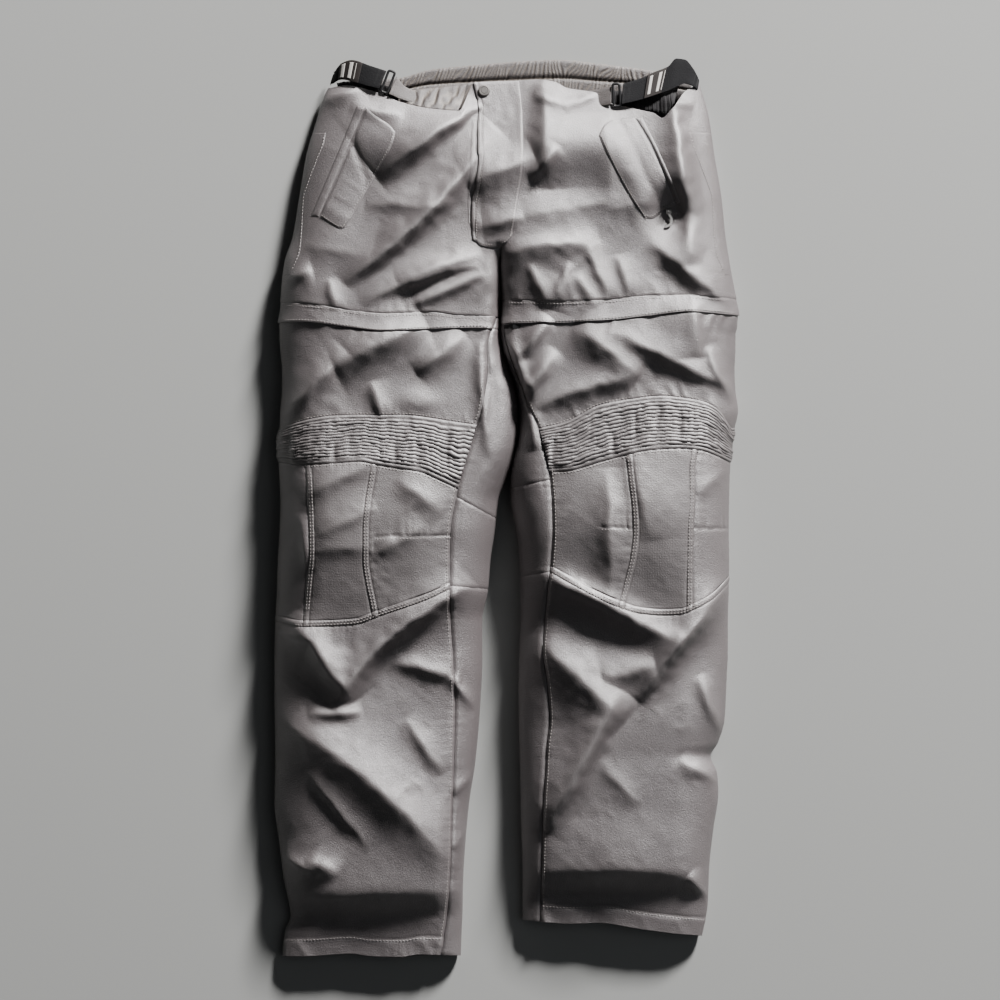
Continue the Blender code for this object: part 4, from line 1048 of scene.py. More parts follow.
LABEL = Finish("label", (0.030, 0.026, 0.025), (0.022, 0.019, 0.018), (0.08, 0.07, 0.07), 0.40,
               weave=Weave.NONE, grain=600.0, grain_depth=0.04)
BARS = Finish("label_bar", (0.62, 0.60, 0.57), (0.50, 0.48, 0.46), (0.72, 0.70, 0.68), 0.40, weave=Weave.NONE,
              grain=900.0, grain_depth=0.03)
# The thread's pale colour is painted highlight, the light that the stitches catch.
HIGHLIT_THREAD = Finish("thread", (0.34, 0.31, 0.30), (0.26, 0.24, 0.23), (0.40, 0.37, 0.36), 0.5, weave=Weave.NONE,
                sheen=0.2)
# The shell cloth painted darker as painted shade, for cloth inside the waist and under the front's edge, with
# a tan painted highlight on its ridges.
SHADED_CASING = Finish("shaded_casing_cloth", (0.066, 0.055, 0.053), (0.046, 0.038, 0.037), (0.19, 0.155, 0.12), 0.56,
                specular=0.8, ior=1.6)
RING = Finish("ring_plastic", (0.020, 0.020, 0.021), (0.014, 0.014, 0.015), (0.08, 0.08, 0.08), 0.30,
              weave=Weave.NONE, grain=500.0, grain_depth=0.02)
SNAP = Finish("snap_metal", (0.24, 0.23, 0.22), (0.18, 0.17, 0.165), (0.5, 0.48, 0.45), 0.36, metallic=0.5,
              weave=Weave.NONE, broad=60.0, grain=900.0, grain_depth=0.02)
ZIP_METAL = Finish("zip_metal", (0.72, 0.71, 0.69), (0.6, 0.59, 0.58), (0.85, 0.84, 0.82), 0.24, metallic=0.6,
                   weave=Weave.NONE, broad=80.0, grain=1200.0, grain_depth=0.015)
ZIP_BLACK = Finish("zip_black", (0.016, 0.016, 0.017), (0.012, 0.012, 0.013), (0.05, 0.05, 0.05), 0.42,
                   weave=Weave.NONE, grain=700.0, grain_depth=0.05)


@dataclass
class ClothSheet:
    """A grid of points made a piece of cloth with a wall, its own flat coordinates and its ridge mask."""

    name: str
    points: np.ndarray
    flat: np.ndarray
    finish: Finish
    nodes: tuple[str, ...] = ()
    wall: float = CLOTH
    rests_on: tuple[str, ...] = ()
    held: str = "laid"
    slot: str | None = None

    def wear_and_highlight(self, normals: np.ndarray) -> np.ndarray:
        """How much painted highlight and rubbing each point gets, from how far it stands above its
        neighbours.

        Args:
            normals: The grid's unit normals.

        Returns:
            The mask from 0 to 1, row by column.
        """
        height = (self.points * normals.mean(axis=(0, 1))).sum(axis=-1)
        around = height.copy()
        for _ in range(3):
            padded = np.pad(around, 1, mode="edge")
            around = (padded[:-2, 1:-1] + padded[2:, 1:-1] + padded[1:-1, :-2] + padded[1:-1, 2:]) / 4
        return np.clip((height - around) * 6, 0, 1)

    def build(self) -> bpy.types.Object:
        """Makes the mesh from a bmesh grid moved to the form.

        Returns:
            The piece, riding on the trousers.
        """
        rows, columns = self.points.shape[:2]
        grid = bmesh.new()
        bmesh.ops.create_grid(grid, x_segments=columns - 1, y_segments=rows - 1, size=0.5)
        mesh = bpy.data.meshes.new(self.name)
        grid.to_mesh(mesh)
        grid.free()
        start = np.empty(len(mesh.vertices) * 3, np.float32)
        mesh.vertices.foreach_get("co", start)
        start = start.reshape(-1, 3)
        column = np.rint((start[:, 0] + 0.5) * (columns - 1)).astype(int)
        row = np.rint((0.5 - start[:, 1]) * (rows - 1)).astype(int)
        mesh.vertices.foreach_set("co", (self.points[row, column] * MM).astype(np.float32).ravel())
        mesh.update()
        normals = normals_of(self.points)
        # The ridge mask that paints highlight and rubbing on ridges and edges.
        worn_and_highlit = mesh.attributes.new("wear_and_highlight", "FLOAT", "POINT")
        worn_and_highlit.data.foreach_set("value", self.wear_and_highlight(normals)[row, column].astype(np.float32))
        corners = np.empty(len(mesh.loops), np.int32)
        mesh.loops.foreach_get("vertex_index", corners)
        layer = mesh.uv_layers.new(name="flat_cloth")
        layer.data.foreach_set("uv", (self.flat[row, column][corners] * MM).astype(np.float32).ravel())
        mesh.shade_smooth()
        piece = bpy.data.objects.new(self.name, mesh)
        bpy.context.scene.collection.objects.link(piece)
        mesh.materials.append(self.finish.material())
        wall = piece.modifiers.new("wall", "SOLIDIFY")
        wall.thickness = self.wall * MM
        wall.offset = -1
        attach(piece, BODY)
        if self.nodes:
            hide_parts(*self.nodes)
        LOG.info("%s: %d points", self.name, rows * columns)
        return piece

    def declare(self, cut: np.ndarray) -> None:
        """Args:
            cut: The grid of points whose lengths give the flat size.
        """
        across = np.linalg.norm(np.diff(cut, axis=1), axis=-1).sum(axis=1).max()
        down = np.linalg.norm(np.diff(cut, axis=0), axis=-1).sum(axis=0).max()
        one, other = np.diff(cut, axis=1)[:-1], np.diff(cut, axis=0)[:, :-1]
        area = np.linalg.norm(np.cross(one, other), axis=-1).sum()
        across, down = max(float(across), LEAST_SIDE), max(float(down), LEAST_SIDE)
        area = float(np.clip(area, LEAST_SHARE * across * down, across * down)) * MM * MM


def facing_out(points: np.ndarray, sign: float) -> np.ndarray:
    """The grid with its columns turned round where that makes its faces point outwards."""
    return points if sign > 0 else points[:, ::-1]


@dataclass
class LegPanels:
    """The cut pieces of one leg, front and back."""

    leg: Leg
    spacing: float = SPACING
    rib_count: int = 15
    rib_height: float = 3.4
    band_rise: float = 2.0
    hem_ply: float = 0.7

    def lay(self, reach: Line, top: Line, foot: Line, v: np.ndarray,
            columns: int) -> tuple[np.ndarray, np.ndarray]:
        """Drops and reaches of a piece between two cross seams.

        Args:
            reach: Reaches of every column by drop.
            top: Its upper seam by x.
            foot: Its lower seam by x.
            v: The rows' shares of the way down.
            columns: How many columns it has.

        Returns:
            Drops and reaches, row by column.
        """
        share = v[:, None]
        drop = np.full((len(v), columns), 0.0)
        drop += top(np.zeros(1)) * (1 - share) + foot(np.zeros(1)) * share
        for _ in range(14):
            s = reach(drop)
            x = self.leg.x_at(drop, s)
            target = (top(x) + SEAM / 2) * (1 - share) + (foot(x) - SEAM / 2) * share
            drop = 0.3 * drop + 0.7 * target
        return drop, s

    def seam_relief(self, drop: np.ndarray, s: np.ndarray, seams: dict[Edge, float],
                    strips: tuple[Edge, ...] = ()) -> np.ndarray:
        """How far seams pull the cloth down, with small puckers beside them.

        Args:
            drop: The points' drops.
            s: Their reaches.
            seams: How deep each sewn edge is pulled down.
            strips: The edges whose seam is folded under and sewn down twice.

        Returns:
            Heights, zero or below at the seams.
        """
        total = np.zeros(drop.shape)
        edges = {
            Edge.TOP: (np.abs(drop - drop[:1]), s), Edge.FOOT: (np.abs(drop - drop[-1:]), s),
            Edge.FIRST: (np.abs(s - s[:, :1]), drop), Edge.LAST: (np.abs(s - s[:, -1:]), drop),
        }
        for edge, depth in seams.items():
            away, run = edges[edge]
            total -= depth * np.exp(-((away / (SEAM_GROOVE_WIDTH * (0.6 + 0.4 * depth))) ** 2))
            swing = np.sin(2 * math.pi * (run / 9.5 + 1.3 * WOBBLE.at(run / 21 + 3, away / 60 + edge.value)))
            strength = WOBBLE.at(run / 40 + 9, away * 0 + edge.value)
            if edge in strips:
                total += STRIP_RISE / (1 + np.exp(np.clip((away - STRIP_WIDTH) / 0.35, -30, 30)))
                total -= STRIP_RISE * np.exp(-(((away - STRIP_WIDTH - 0.9) / 1.0) ** 2))
            total += SEAM_PUCKER * 2 * strength * swing * np.exp(-away / 8) * np.clip(away / 1.5, 0, 1)
        return total

    def cut(self, part: str, first: Line, last: Line, top: Line, foot: Line, finish: Finish,
            seams: dict[Edge, float], raise_by: Callable | None = None, row_spacing: float | None = None,
            slot: str = "shell_cloth", wall: float = CLOTH, strips: tuple[Edge, ...] = ()) -> None:
        """Makes one piece of the front.

        Args:
            part: The node's name without its side.
            first: Reach of its outer long seam.
            last: Reach of its inner long seam.
            top: Its upper seam.
            foot: Its lower seam.
            finish: Its finish.
            seams: How deep each sewn edge is pulled down.
            raise_by: Adds height from x, drop and the share of the way down.
            row_spacing: How far apart its rows are.
            slot: The record's material slot; it is stored on the sheet and not used.
            wall: The cloth's thickness.
            strips: The edges that have a strip sewn down twice.
        """
        middle = float(top(np.array([self.leg.sign * MID_LEG]))[0])
        end = float(foot(np.array([self.leg.sign * MID_LEG]))[0])
        at = np.array([(middle + end) / 2])
        u = shares_of(float(last(at)[0] - first(at)[0]), self.spacing)
        v = shares_of(end - middle, row_spacing or self.spacing)

        def reach(drop: np.ndarray) -> np.ndarray:
            """The columns' reaches."""
            return (first(drop) + SEAM / 2) * (1 - u) + (last(drop) - SEAM / 2) * u

        drop, s = self.lay(reach, top, foot, v, len(u))
        points = self.leg.point(drop, s)
        raised = self.seam_relief(drop, s, seams, strips)
        if raise_by:
            raised = raised + raise_by(points[..., 0], drop, v[:, None] * np.ones((1, len(u))))
        points = points + normals_of(points) * self.leg.sign * raised[..., None]
        name = f"{self.leg.name}_{part}"
        flat = np.stack([s, drop], axis=-1)
        gathered = finish is STRETCH
        sign = self.leg.sign
        sheet = ClothSheet(f"{name}_cloth", facing_out(points, sign), facing_out(flat, sign), finish, (name,),
                           wall, (f"{self.leg.name}_back_thigh",), slot=slot,
                           held="gathered" if gathered else "laid")
        piece = sheet.build()
        sheet.declare(points if gathered else self.leg.point(drop, s, creased=False))

    def under(self, part: str, top: Line, foot: Line, has_strip: bool) -> None:
        """Makes one piece of the back, round the outer side, under, and up the inner side to the inseam.

        Args:
            part: The node's name without its side.
            top: Its upper seam.
            foot: Its lower seam.
            has_strip: Whether it comes up over the front to the inseam.
        """
        middle = float(top(np.array([self.leg.sign * INNER_LEG]))[0])
        end = float(foot(np.array([self.leg.sign * INNER_LEG]))[0])
        v = shares_of(end - middle, self.spacing * 1.4)
        spans = [np.linspace(0, 1, 7)[:-1], np.linspace(0, 1, 19)[:-1], np.linspace(0, 1, 9)[:-1]]
        spans.append(shares_of(58, self.spacing) if has_strip else np.zeros(1))
        weights = []
        for k in range(len(spans)):
            shares = [np.full(len(t), float(j > k)) if j != k else t for j, t in enumerate(spans)]
            weights.append(np.concatenate(shares))

        def reach(drop: np.ndarray) -> np.ndarray:
            """The columns' reaches, under the leg and up its inner side.

            Args:
                drop: The points' drops.

            Returns:
                Their reaches, below zero under the leg.
            """
            shape = self.leg.shape(drop)
            total = SEAM / 2 * (1 - weights[1]) + weights[0] * (shape.edge * math.pi / 2 - SEAM / 2)
            total = total + weights[1] * (shape.width - shape.edge - shape.edge_in)
            total = total + weights[2] * (shape.edge_in * math.pi / 2) * (1 if has_strip else 0.98)
            if has_strip:
                total = total + weights[3] * (shape.front - self.leg.inseam(drop) - INSEAM_GAP)
            return -total

        drop, s = self.lay(reach, top, foot, v, len(weights[0]))
        points = self.leg.point(drop, s)
        raised = self.seam_relief(drop, s, {**SEWN, Edge.LAST: 1.6} if has_strip else {})
        on_top = np.clip((points[..., 2:3] - 12) / 10, 0, 1)
        points = points - normals_of(points) * self.leg.sign * raised[..., None] * on_top
        name = f"{self.leg.name}_{part}"
        flat = np.stack([s, drop], axis=-1)
        sign = -self.leg.sign
        sheet = ClothSheet(f"{name}_cloth", facing_out(points, sign), facing_out(flat, sign), SHELL, (name,),
                           slot="shell_cloth")
        piece = sheet.build()
        sheet.declare(self.leg.point(drop, s, creased=False))

    def ribs(self, x: np.ndarray, drop: np.ndarray, down: np.ndarray) -> np.ndarray:
        """The height of the stretch panel's ribs, which wander and are pinched here and there.

        Args:
            x: Places across the front.
            drop: Their drops.
            down: Their shares of the way down the piece.

        Returns:
            Heights in millimetres.
        """
        wander = 0.8 * (WOBBLE.at(x / 26 + 3, drop / 18) - 0.5)
        wander = wander + 0.5 * (CRINKLE.at(x / 3.6, drop / 14 + 8) - 0.5)
        wander = wander * np.clip(down * 8, 0, 1) * np.clip((1 - down) * 8, 0, 1)
        phase = np.clip(down * self.rib_count + wander, 0, None)
        rib = np.abs(np.sin(math.pi * phase)) ** 0.75
        full = 0.7 + 0.5 * CRINKLE.at(x / 7 + 30, np.floor(phase) * 3.1)
        full = full * np.clip(0.3 + 5 * np.minimum(down, 1 - down), 0, 1)
        pinch = 1 - 0.5 * np.clip(CRINKLE.at(x / 9 + 80, drop / 40) - 0.62, 0, 1) * 4
        return self.rib_height * rib * full * np.clip(pinch, 0.35, 1)

    def build(self) -> None:
        """Makes every cut piece of the leg."""
        side, leg = self.leg.name, self.leg
        outseam = level(0)
        waist, band_top, band_foot = line_of(WAIST[side]), line_of(BAND_TOP[side]), line_of(BAND_FOOT[side])
        stretch_top, stretch_foot = line_of(STRETCH_TOP[side]), line_of(STRETCH_FOOT[side])
        knee_foot, hem = line_of(KNEE_FOOT[side]), line_of(HEM[side])
        outer_seam, inner_seam = leg.seam(KNEE_OUTER_SEAM[side]), leg.seam(KNEE_INNER_SEAM[side])

        def band_lift(x: np.ndarray, drop: np.ndarray, down: np.ndarray) -> np.ndarray:
            """The band lies over the zip, so it stands proud towards its foot."""
            uneven = 0.9 * (CRINKLE.at(x / 12, drop / 30) - 0.5)
            return self.band_rise * np.clip(down * 1.1, 0, 1) ** 1.5 + uneven

        def hem_lift(x: np.ndarray, drop: np.ndarray, down: np.ndarray) -> np.ndarray:
            """The turned-up hem is thicker and a little wavy.

            Args:
                x: Places across the front.
                drop: Their drops.
                down: Their shares of the way down the piece. Not used.

            Returns:
                Heights in millimetres.
            """
            above = drop - (hem(x) - HEM_DEPTH)
            waves = 1.5 * (CRINKLE.ridged((x - 0.6 * above) / 24 + 9, 4.0 + 0 * x) - 0.5)
            waves = waves * np.clip(above / 6, 0, 1)
            return self.hem_ply * np.clip(above / 1.5, 0, 1) - 0.6 * np.exp(-((above / 1.4) ** 2)) + waves

        def hip_pulls(x: np.ndarray, drop: np.ndarray, down: np.ndarray) -> np.ndarray:
            """Puckers above the band."""
            return pulls(x, np.clip(band_top(x) - drop, 0, None), 17.3)

        def thigh_pulls(x: np.ndarray, drop: np.ndarray, down: np.ndarray) -> np.ndarray:
            """Puckers below the band and gathers above the stretch panel.

            Args:
                x: Places across the front.
                drop: Their drops.
                down: Their shares of the way down the piece. Not used.

            Returns:
                Heights in millimetres.
            """
            below = np.clip(drop - band_foot(x), 0, None)
            above = np.clip(stretch_top(x) - drop, 0, None)
            return pulls(x, below, 31.7) + pulls(x, above, 47.1, 3.0 if side == "left" else 1.2, 11.0)

        def dart_dip(x: np.ndarray, drop: np.ndarray, down: np.ndarray) -> np.ndarray:
            """The darts of the knee, with the gathers that they pull.

            Args:
                x: Places across the front.
                drop: Their drops.
                down: Their shares of the way down the piece. Not used.

            Returns:
                Heights in millimetres.
            """
            total = np.zeros(x.shape)
            for (x0, drop0), (x1, drop1) in DARTS[side]:
                share = np.clip((x - x0) / (x1 - x0), 0, 1)
                away = drop - drop0 * (1 - share) - drop1 * share
                inside = np.clip((x - x0 + 3) / 4, 0, 1) * np.clip((x1 + 3 - x) / 4, 0, 1)
                total = total - inside * 0.9 * np.exp(-((away / 1.5) ** 2))
                pull = np.sin(2 * math.pi * (x / 9.5 + 1.6 * WOBBLE.at(x / 14, drop / 50)))
                pull = pull * WOBBLE.at(x / 11 + 7, 2.0 + 0 * x)
                total = total + inside * 0.8 * pull * np.exp(-np.abs(away) / 9) * (away < 0)
            return total

        self.cut("front_hip", outseam, leg.inner_edge, waist, band_top, SHELL, INSEAM, hip_pulls)
        self.cut("band_front", outseam, leg.inseam, band_top, band_foot, SHELL,
                 {Edge.TOP: 0.2, Edge.LAST: 1.6}, band_lift, 1.5)
        self.cut("front_thigh", outseam, leg.inseam, lambda x: band_foot(x) - THIGH_TUCK, stretch_top, SHELL,
                 INSEAM, thigh_pulls)
        self.cut("knee_stretch", outseam, leg.inseam, stretch_top, stretch_foot, STRETCH, {Edge.LAST: 1.6},
                 self.ribs, 0.55, "stretch_cloth")
        self.cut("knee_side_outer", outseam, outer_seam, stretch_foot, knee_foot, SHELL, SEWN, dart_dip,
                 strips=(Edge.FOOT,))
        self.cut("knee_centre", outer_seam, inner_seam, stretch_foot, knee_foot, KNEE, SEWN,
                 slot="knee_cloth", strips=(Edge.FOOT, Edge.FIRST, Edge.LAST))
        self.cut("knee_side_inner", inner_seam, leg.inseam, stretch_foot, knee_foot, KNEE_SIDE,
                 {**SEWN, Edge.LAST: 2.0}, dart_dip, slot="knee_cloth", strips=(Edge.FOOT,))
        self.cut("front_shin", outseam, leg.inseam, knee_foot, hem, SHELL,
                 {**INSEAM, Edge.TOP: 0.7, Edge.FOOT: 0}, hem_lift)
        gusset_top, gusset_foot = line_of(GUSSET_TOP[side]), line_of(GUSSET_FOOT[side])
        self.under("back_hip", level(62), band_top, False)
        self.under("band_back", band_top, band_foot, True)
        self.under("back_thigh", band_foot, gusset_top, True)
        self.under("back_knee", gusset_top, gusset_foot, True)
        self.under("back_shin", gusset_foot, hem, True)


def patch_grid(edges: dict[str, Rows], across: np.ndarray, down: np.ndarray) -> np.ndarray:
    """A grid between four edges, each a short list of points.

    Args:
        edges: top and foot run left to right, left and right from top to foot.
        across: Shares across.
        down: Shares down.

    Returns:
        Points, row by column.
    """
    top, foot = along(edges["top"], across), along(edges["foot"], across)
    left, right = along(edges["left"], down), along(edges["right"], down)
    u, v = across[None, :, None], down[:, None, None]
    sides = left[:, None] * (1 - u) + right[:, None] * u
    ends = top[None] * (1 - v) + foot[None] * v
    corners = (top[0] * (1 - u) + top[-1] * u) * (1 - v) + (foot[0] * (1 - u) + foot[-1] * u) * v
    return sides + ends - corners


@dataclass
class Overlay:
    """A piece that lies on the front: the form's own points under it, moved out."""

    node: str
    edges: dict[str, Rows]
    finish: Finish
    slot: str
    gap: float = OVERLAY_GAP
    wall: float = CLOTH
    spacing: float = 1.6
    roll: float = 0.7
    lift: Callable | None = None
    rests_on: tuple[str, ...] = ()

    def build(self) -> bpy.types.Object:
        """Returns:
            The piece, riding on the trousers.
        """
        ends = {edge: np.array(rows, float)[[0, -1]] for edge, rows in self.edges.items()}
        wide = float(np.linalg.norm(ends["top"][1] - ends["top"][0]))
        wide = max(wide, float(np.linalg.norm(ends["foot"][1] - ends["foot"][0])))
        long = float(np.linalg.norm(ends["foot"][0] - ends["left"][0]))
        u, v = shares_of(wide, self.spacing), shares_of(long, self.spacing)
        grid = patch_grid(self.edges, u, v)
        points = front_at(grid[..., 0], grid[..., 1])
        out = normals_of(points)
        out = out * np.sign(out[..., 2].mean())
        uu, vv = np.broadcast_arrays(u[None, :], v[:, None])
        edge = np.minimum(np.minimum(uu, 1 - uu) * wide, np.minimum(vv, 1 - vv) * long)
        rise = self.gap + self.wall - self.roll * np.exp(-((edge / 1.6) ** 2))
        if self.lift:
            rise = rise + self.lift(uu, vv, grid)
        points = points + out * rise[..., None]
        sheet = ClothSheet(f"{self.node}_cloth", points, grid, self.finish, (self.node,), self.wall,
                           self.rests_on, slot=self.slot)
        piece = sheet.build()
        sheet.declare(front_flat(grid))
        return piece


def front_flat(grid: np.ndarray) -> np.ndarray:
    """A grid of x and drop as points of a flat cut."""
    return np.concatenate([grid, np.zeros(grid.shape[:2] + (1,))], axis=-1)


@dataclass
class Ribbon:
    """A strip between two edges of x, drop and height above the front."""

    node: str
    edges: tuple[Rows, Rows]
    finish: Finish
    slot: str | None
    span: tuple[float, float] = (0.0, 1.0)
    thickness: float = 2.0
    gap: float = 0.0
    inset: float = 0.0
    crown: float = 0.0
    name: str | None = None

    def surface(self, t: np.ndarray, across: np.ndarray) -> tuple[np.ndarray, np.ndarray]:
        """Points of the strip's underside and the directions out of it.

        Args:
            t: Shares along the strip.
            across: Shares across it.

        Returns:
            The points and their directions.
        """
        near, far = along(self.edges[0], t), along(self.edges[1], t)
        rows = []
        for side in (near, far):
            ground = ClothForm.smooth_front(side[:, 0], side[:, 1])
            rows.append(np.stack([side[:, 0], TOP - side[:, 1], ground + side[:, 2]], axis=-1))
        u = across[None, :, None]
        points = rows[0][:, None] * (1 - u) + rows[1][:, None] * u
        out = normals_of(points)
        return points, out * np.sign(out[..., 2].mean())

    def build(self) -> bpy.types.Object:
        """Returns:
            The strip, riding on the trousers.
        """
        near = np.array(self.edges[0], float)
        length = float(np.linalg.norm(np.diff(near, axis=0), axis=1).sum()) * (self.span[1] - self.span[0])
        t = self.span[0] + (self.span[1] - self.span[0]) * shares_of(max(length, 3.0), 1.5)
        u = self.inset + (1 - 2 * self.inset) * shares_of(24, 1.5)
        points, out = self.surface(t, u)
        edge = np.minimum(u, 1 - u)[None, :] * 24
        rise = self.gap + self.thickness + self.crown * (1 - np.exp(-((edge / 2.0) ** 2)))
        points = points + out * np.broadcast_to(rise, points.shape[:2])[..., None]
        flat = np.stack(np.broadcast_arrays(t[:, None] * length, u[None, :] * 24), axis=-1)
        turned = np.cross(points[1, 0] - points[0, 0], points[0, 1] - points[0, 0])[2] > 0
        grid = points if turned else points[:, ::-1]
        sheet = ClothSheet(self.name or f"{self.node}_cloth", grid, flat, self.finish,
                           (self.node,) if self.name is None else (), self.thickness * 0.9, slot=self.slot)
        piece = sheet.build()
        if self.name is None:
            sheet.declare(grid)
        return piece


class ClothForm:
    """The front without creases, which straps and tabs are placed above."""

    @staticmethod
    def smooth_front(x: np.ndarray, drop: np.ndarray) -> np.ndarray:
        """How high the front stands without its creases.

        Args:
            x: Places across the front.
            drop: Their drops.

        Returns:
            Heights in millimetres.
        """
        heights = {}
        for name, leg in LEGS.items():
            heights[name] = leg.point(drop, leg.reach_of(x, drop), creased=False)[..., 2]
        return np.where(x > CENTRE_FRONT, heights["left"], heights["right"])


@dataclass
class BackCasing:
    """The gathered casing at the back of the waist, seen from its inner face past the front edge."""

    node: str = "back_waist_casing"
    spacing: float = 1.2
    seen_higher: float = 3.5

    def build(self) -> bpy.types.Object:
        """Makes the casing.

        Returns:
            The casing, riding on the trousers.
        """
        first, last = CASING_TOP[0][0], CASING_TOP[-1][0]
        start, end = GATHERED_SPAN
        x = np.linspace(first, last, round((last - first) / self.spacing))[None, :]
        share = shares_of(50, self.spacing)[:, None]
        top = smooth(CASING_TOP, x) - self.seen_higher
        wobble = 3.2 * (WOBBLE.at(x / 21 + 50, share * 2) - 0.5)
        wobble = wobble + 0.9 * (CRINKLE.at(x / 9 + 5, share * 3) - 0.5)
        phase = (x + GATHER_SLANT * share * 2.2 - start) / (end - start) * GATHER_COUNT + wobble
        inside = np.clip((x - start) / 12, 0, 1) * np.clip((end - x) / 12, 0, 1)
        wave = 0.5 - 0.5 * np.cos(2 * math.pi * phase)
        full = 0.2 + 1.5 * CRINKLE.at(np.floor(phase) * 2.3, share * 2)
        strength = smooth(CASING_PROFILE, share, 2)
        rise = smooth(CASING_PROFILE, share, 1) + GATHER_HEIGHT * wave * strength * full * inside
        edge_wave = 0.8 * (wave - 0.5) * np.exp(-share / 0.08) * inside
        drop = top * (1 - share) + CASING_FOOT * share + edge_wave
        wide = np.broadcast_to(x, drop.shape)
        points = np.stack([wide, TOP - drop, np.broadcast_to(rise, drop.shape)], axis=-1)
        flat = np.stack([wide, drop], axis=-1)
        # Painted shade: the casing takes the darker copy of the shell cloth.
        sheet = ClothSheet(f"{self.node}_cloth", points, flat, SHADED_CASING, (self.node,), 1.6, slot="shell_cloth",
                           held="gathered")
        piece = sheet.build()
        sheet.declare(points)
        return piece


@dataclass
class PocketSet:
    """The hand pocket's flap and welt and the long pocket down the side of one leg."""

    leg: Leg
    flap_bulge: float = 2.2
    pocket_wall: float = 0.8
    pocket_lift: float = 1.05

    def flap_lift(self, u: np.ndarray, v: np.ndarray, grid: np.ndarray) -> np.ndarray:
        """The flap's bulge with its own creases.

        Args:
            u: Shares across the piece.
            v: Shares down it.
            grid: The points' x and drop. Not used.

        Returns:
            Heights in millimetres.
        """
        bulge = self.flap_bulge * np.sin(math.pi * u) * np.sin(math.pi * v)
        if self.leg.name == "right":
            across = (v - 0.38 - 0.25 * (u - 0.3)) / 0.05
            dent = 1.6 * np.exp(-(across**2)) * np.clip(1.2 - u, 0, 1)
            return bulge - dent + 0.8 * np.exp(-(((v - 0.9) / 0.06) ** 2))
        crest = 1.3 * np.exp(-(((u - 0.3) / 0.2) ** 2)) * np.sin(math.pi * v)
        return bulge + crest - 0.8 * np.exp(-(((u - 0.6) / 0.1) ** 2))

    def build(self) -> None:
        """Makes the pieces."""
        side, leg = self.leg.name, self.leg
        host = (f"{side}_front_hip_cloth",)
        Overlay(f"{side}_pocket_flap", FLAPS[side], SHELL, "shell_cloth", lift=self.flap_lift,
                rests_on=host).build()
        Overlay(f"{side}_pocket_welt", WELTS[side], SHELL, "shell_cloth", rests_on=host).build()
        edge = leg.seam([(drop, out) for drop, out in SIDE_POCKET_EDGE])
        panels = LegPanels(leg)
        top, foot = level(SIDE_POCKET["top"]), level(SIDE_POCKET["foot"])
        panels.cut("side_pocket", level(3), edge, top, foot, SHELL, {},
                   lambda x, drop, down: self.pocket_lift + 0 * x, wall=self.pocket_wall)


@dataclass
class WaistSet:
    """One side's adjuster: the elastic, the strap with its label and the tab that holds the ring."""

    leg: Leg
    webbing: float = 2.0
    label_thickness: float = 1.2

    def gathers(self, u: np.ndarray, v: np.ndarray, grid: np.ndarray) -> np.ndarray:
        """The elastic's close ribs."""
        return 0.35 * np.cos(2 * math.pi * grid[..., 0] / 4.6) + 0.5 * np.cos(2 * math.pi * grid[..., 0] / 11)

    def build(self) -> None:
        """Makes the pieces."""
        side = self.leg.name
        Overlay(f"{side}_side_elastic", SIDE_ELASTIC[side], ELASTIC, "elastic", gap=-CLOTH - 1.2,
                lift=self.gathers, spacing=1.0).build()
        Ribbon(f"{side}_waist_strap", STRAP_EDGES[side], WEBBING, "webbing", crown=0.25).build()
        Ribbon(f"{side}_strap_label", STRAP_EDGES[side], LABEL, "label", LABEL_SPAN[side],
               self.label_thickness, self.webbing + 0.2, crown=0.3).build()
        for k, span in enumerate(LABEL_BARS[side]):
            Ribbon(f"{side}_strap_label", STRAP_EDGES[side], BARS, None, span, 0.3,
                   self.webbing + self.label_thickness + 0.45, inset=0.12,
                   name=f"{side}_label_bar_{k + 1}").build()
        # Painted shade: the tab takes the darker copy of the shell cloth.
        Ribbon(f"{side}_ring_tab", TAB_EDGES[side], SHADED_CASING, "shell_cloth", crown=0.4).build()


@dataclass
class Fly:
    """The fly: its flap, the underlap's piping and the gathered strip beside it."""

    left_rise: float = 1.4

    def flap_lift(self, u: np.ndarray, v: np.ndarray, grid: np.ndarray) -> np.ndarray:
        """The flap stands up along its free edge and lies tight along its stitched one.

        Args:
            u: Shares across the piece.
            v: Shares down it. Not used.
            grid: The points' x and drop.

        Returns:
            Heights in millimetres.
        """
        stitched = -0.8 * np.exp(-(((1 - u) * 56 / 2.0) ** 2))
        topstitch = -0.5 * np.exp(-(((u * 56 - 5) / 1.2) ** 2))
        uneven = 0.5 * (CRINKLE.at(grid[..., 0] / 8, grid[..., 1] / 14) - 0.5)
        return self.left_rise * (1 - u) ** 2 + stitched + topstitch + uneven

    def strip_lift(self, u: np.ndarray, v: np.ndarray, grid: np.ndarray) -> np.ndarray:
        """The strip's wrinkles."""
        fold = np.sin(2 * math.pi * (5 * u + 0.6 * v + WOBBLE.at(grid[..., 0] / 9, grid[..., 1] / 9)))
        return 1.2 * fold * np.sin(math.pi * v)

    def build(self) -> None:
        """Makes the pieces."""
        host = ("right_front_hip_cloth", "left_front_hip_cloth")
        Overlay("fly_flap", FLY, SHELL, "shell_cloth", lift=self.flap_lift, rests_on=host,
                spacing=1.5).build()
        Overlay("fly_underlap", UNDERLAP, SHELL, "shell_cloth", wall=1.2, spacing=1.2,
                rests_on=host[:1]).build()
        # Painted shade: the strip under the front's edge takes the darker copy of the shell cloth.
        Overlay("right_front_waist_strip", WAIST_STRIP, SHADED_CASING, "shell_cloth", gap=-CLOTH - 0.6,
                lift=self.strip_lift, spacing=1.2).build()


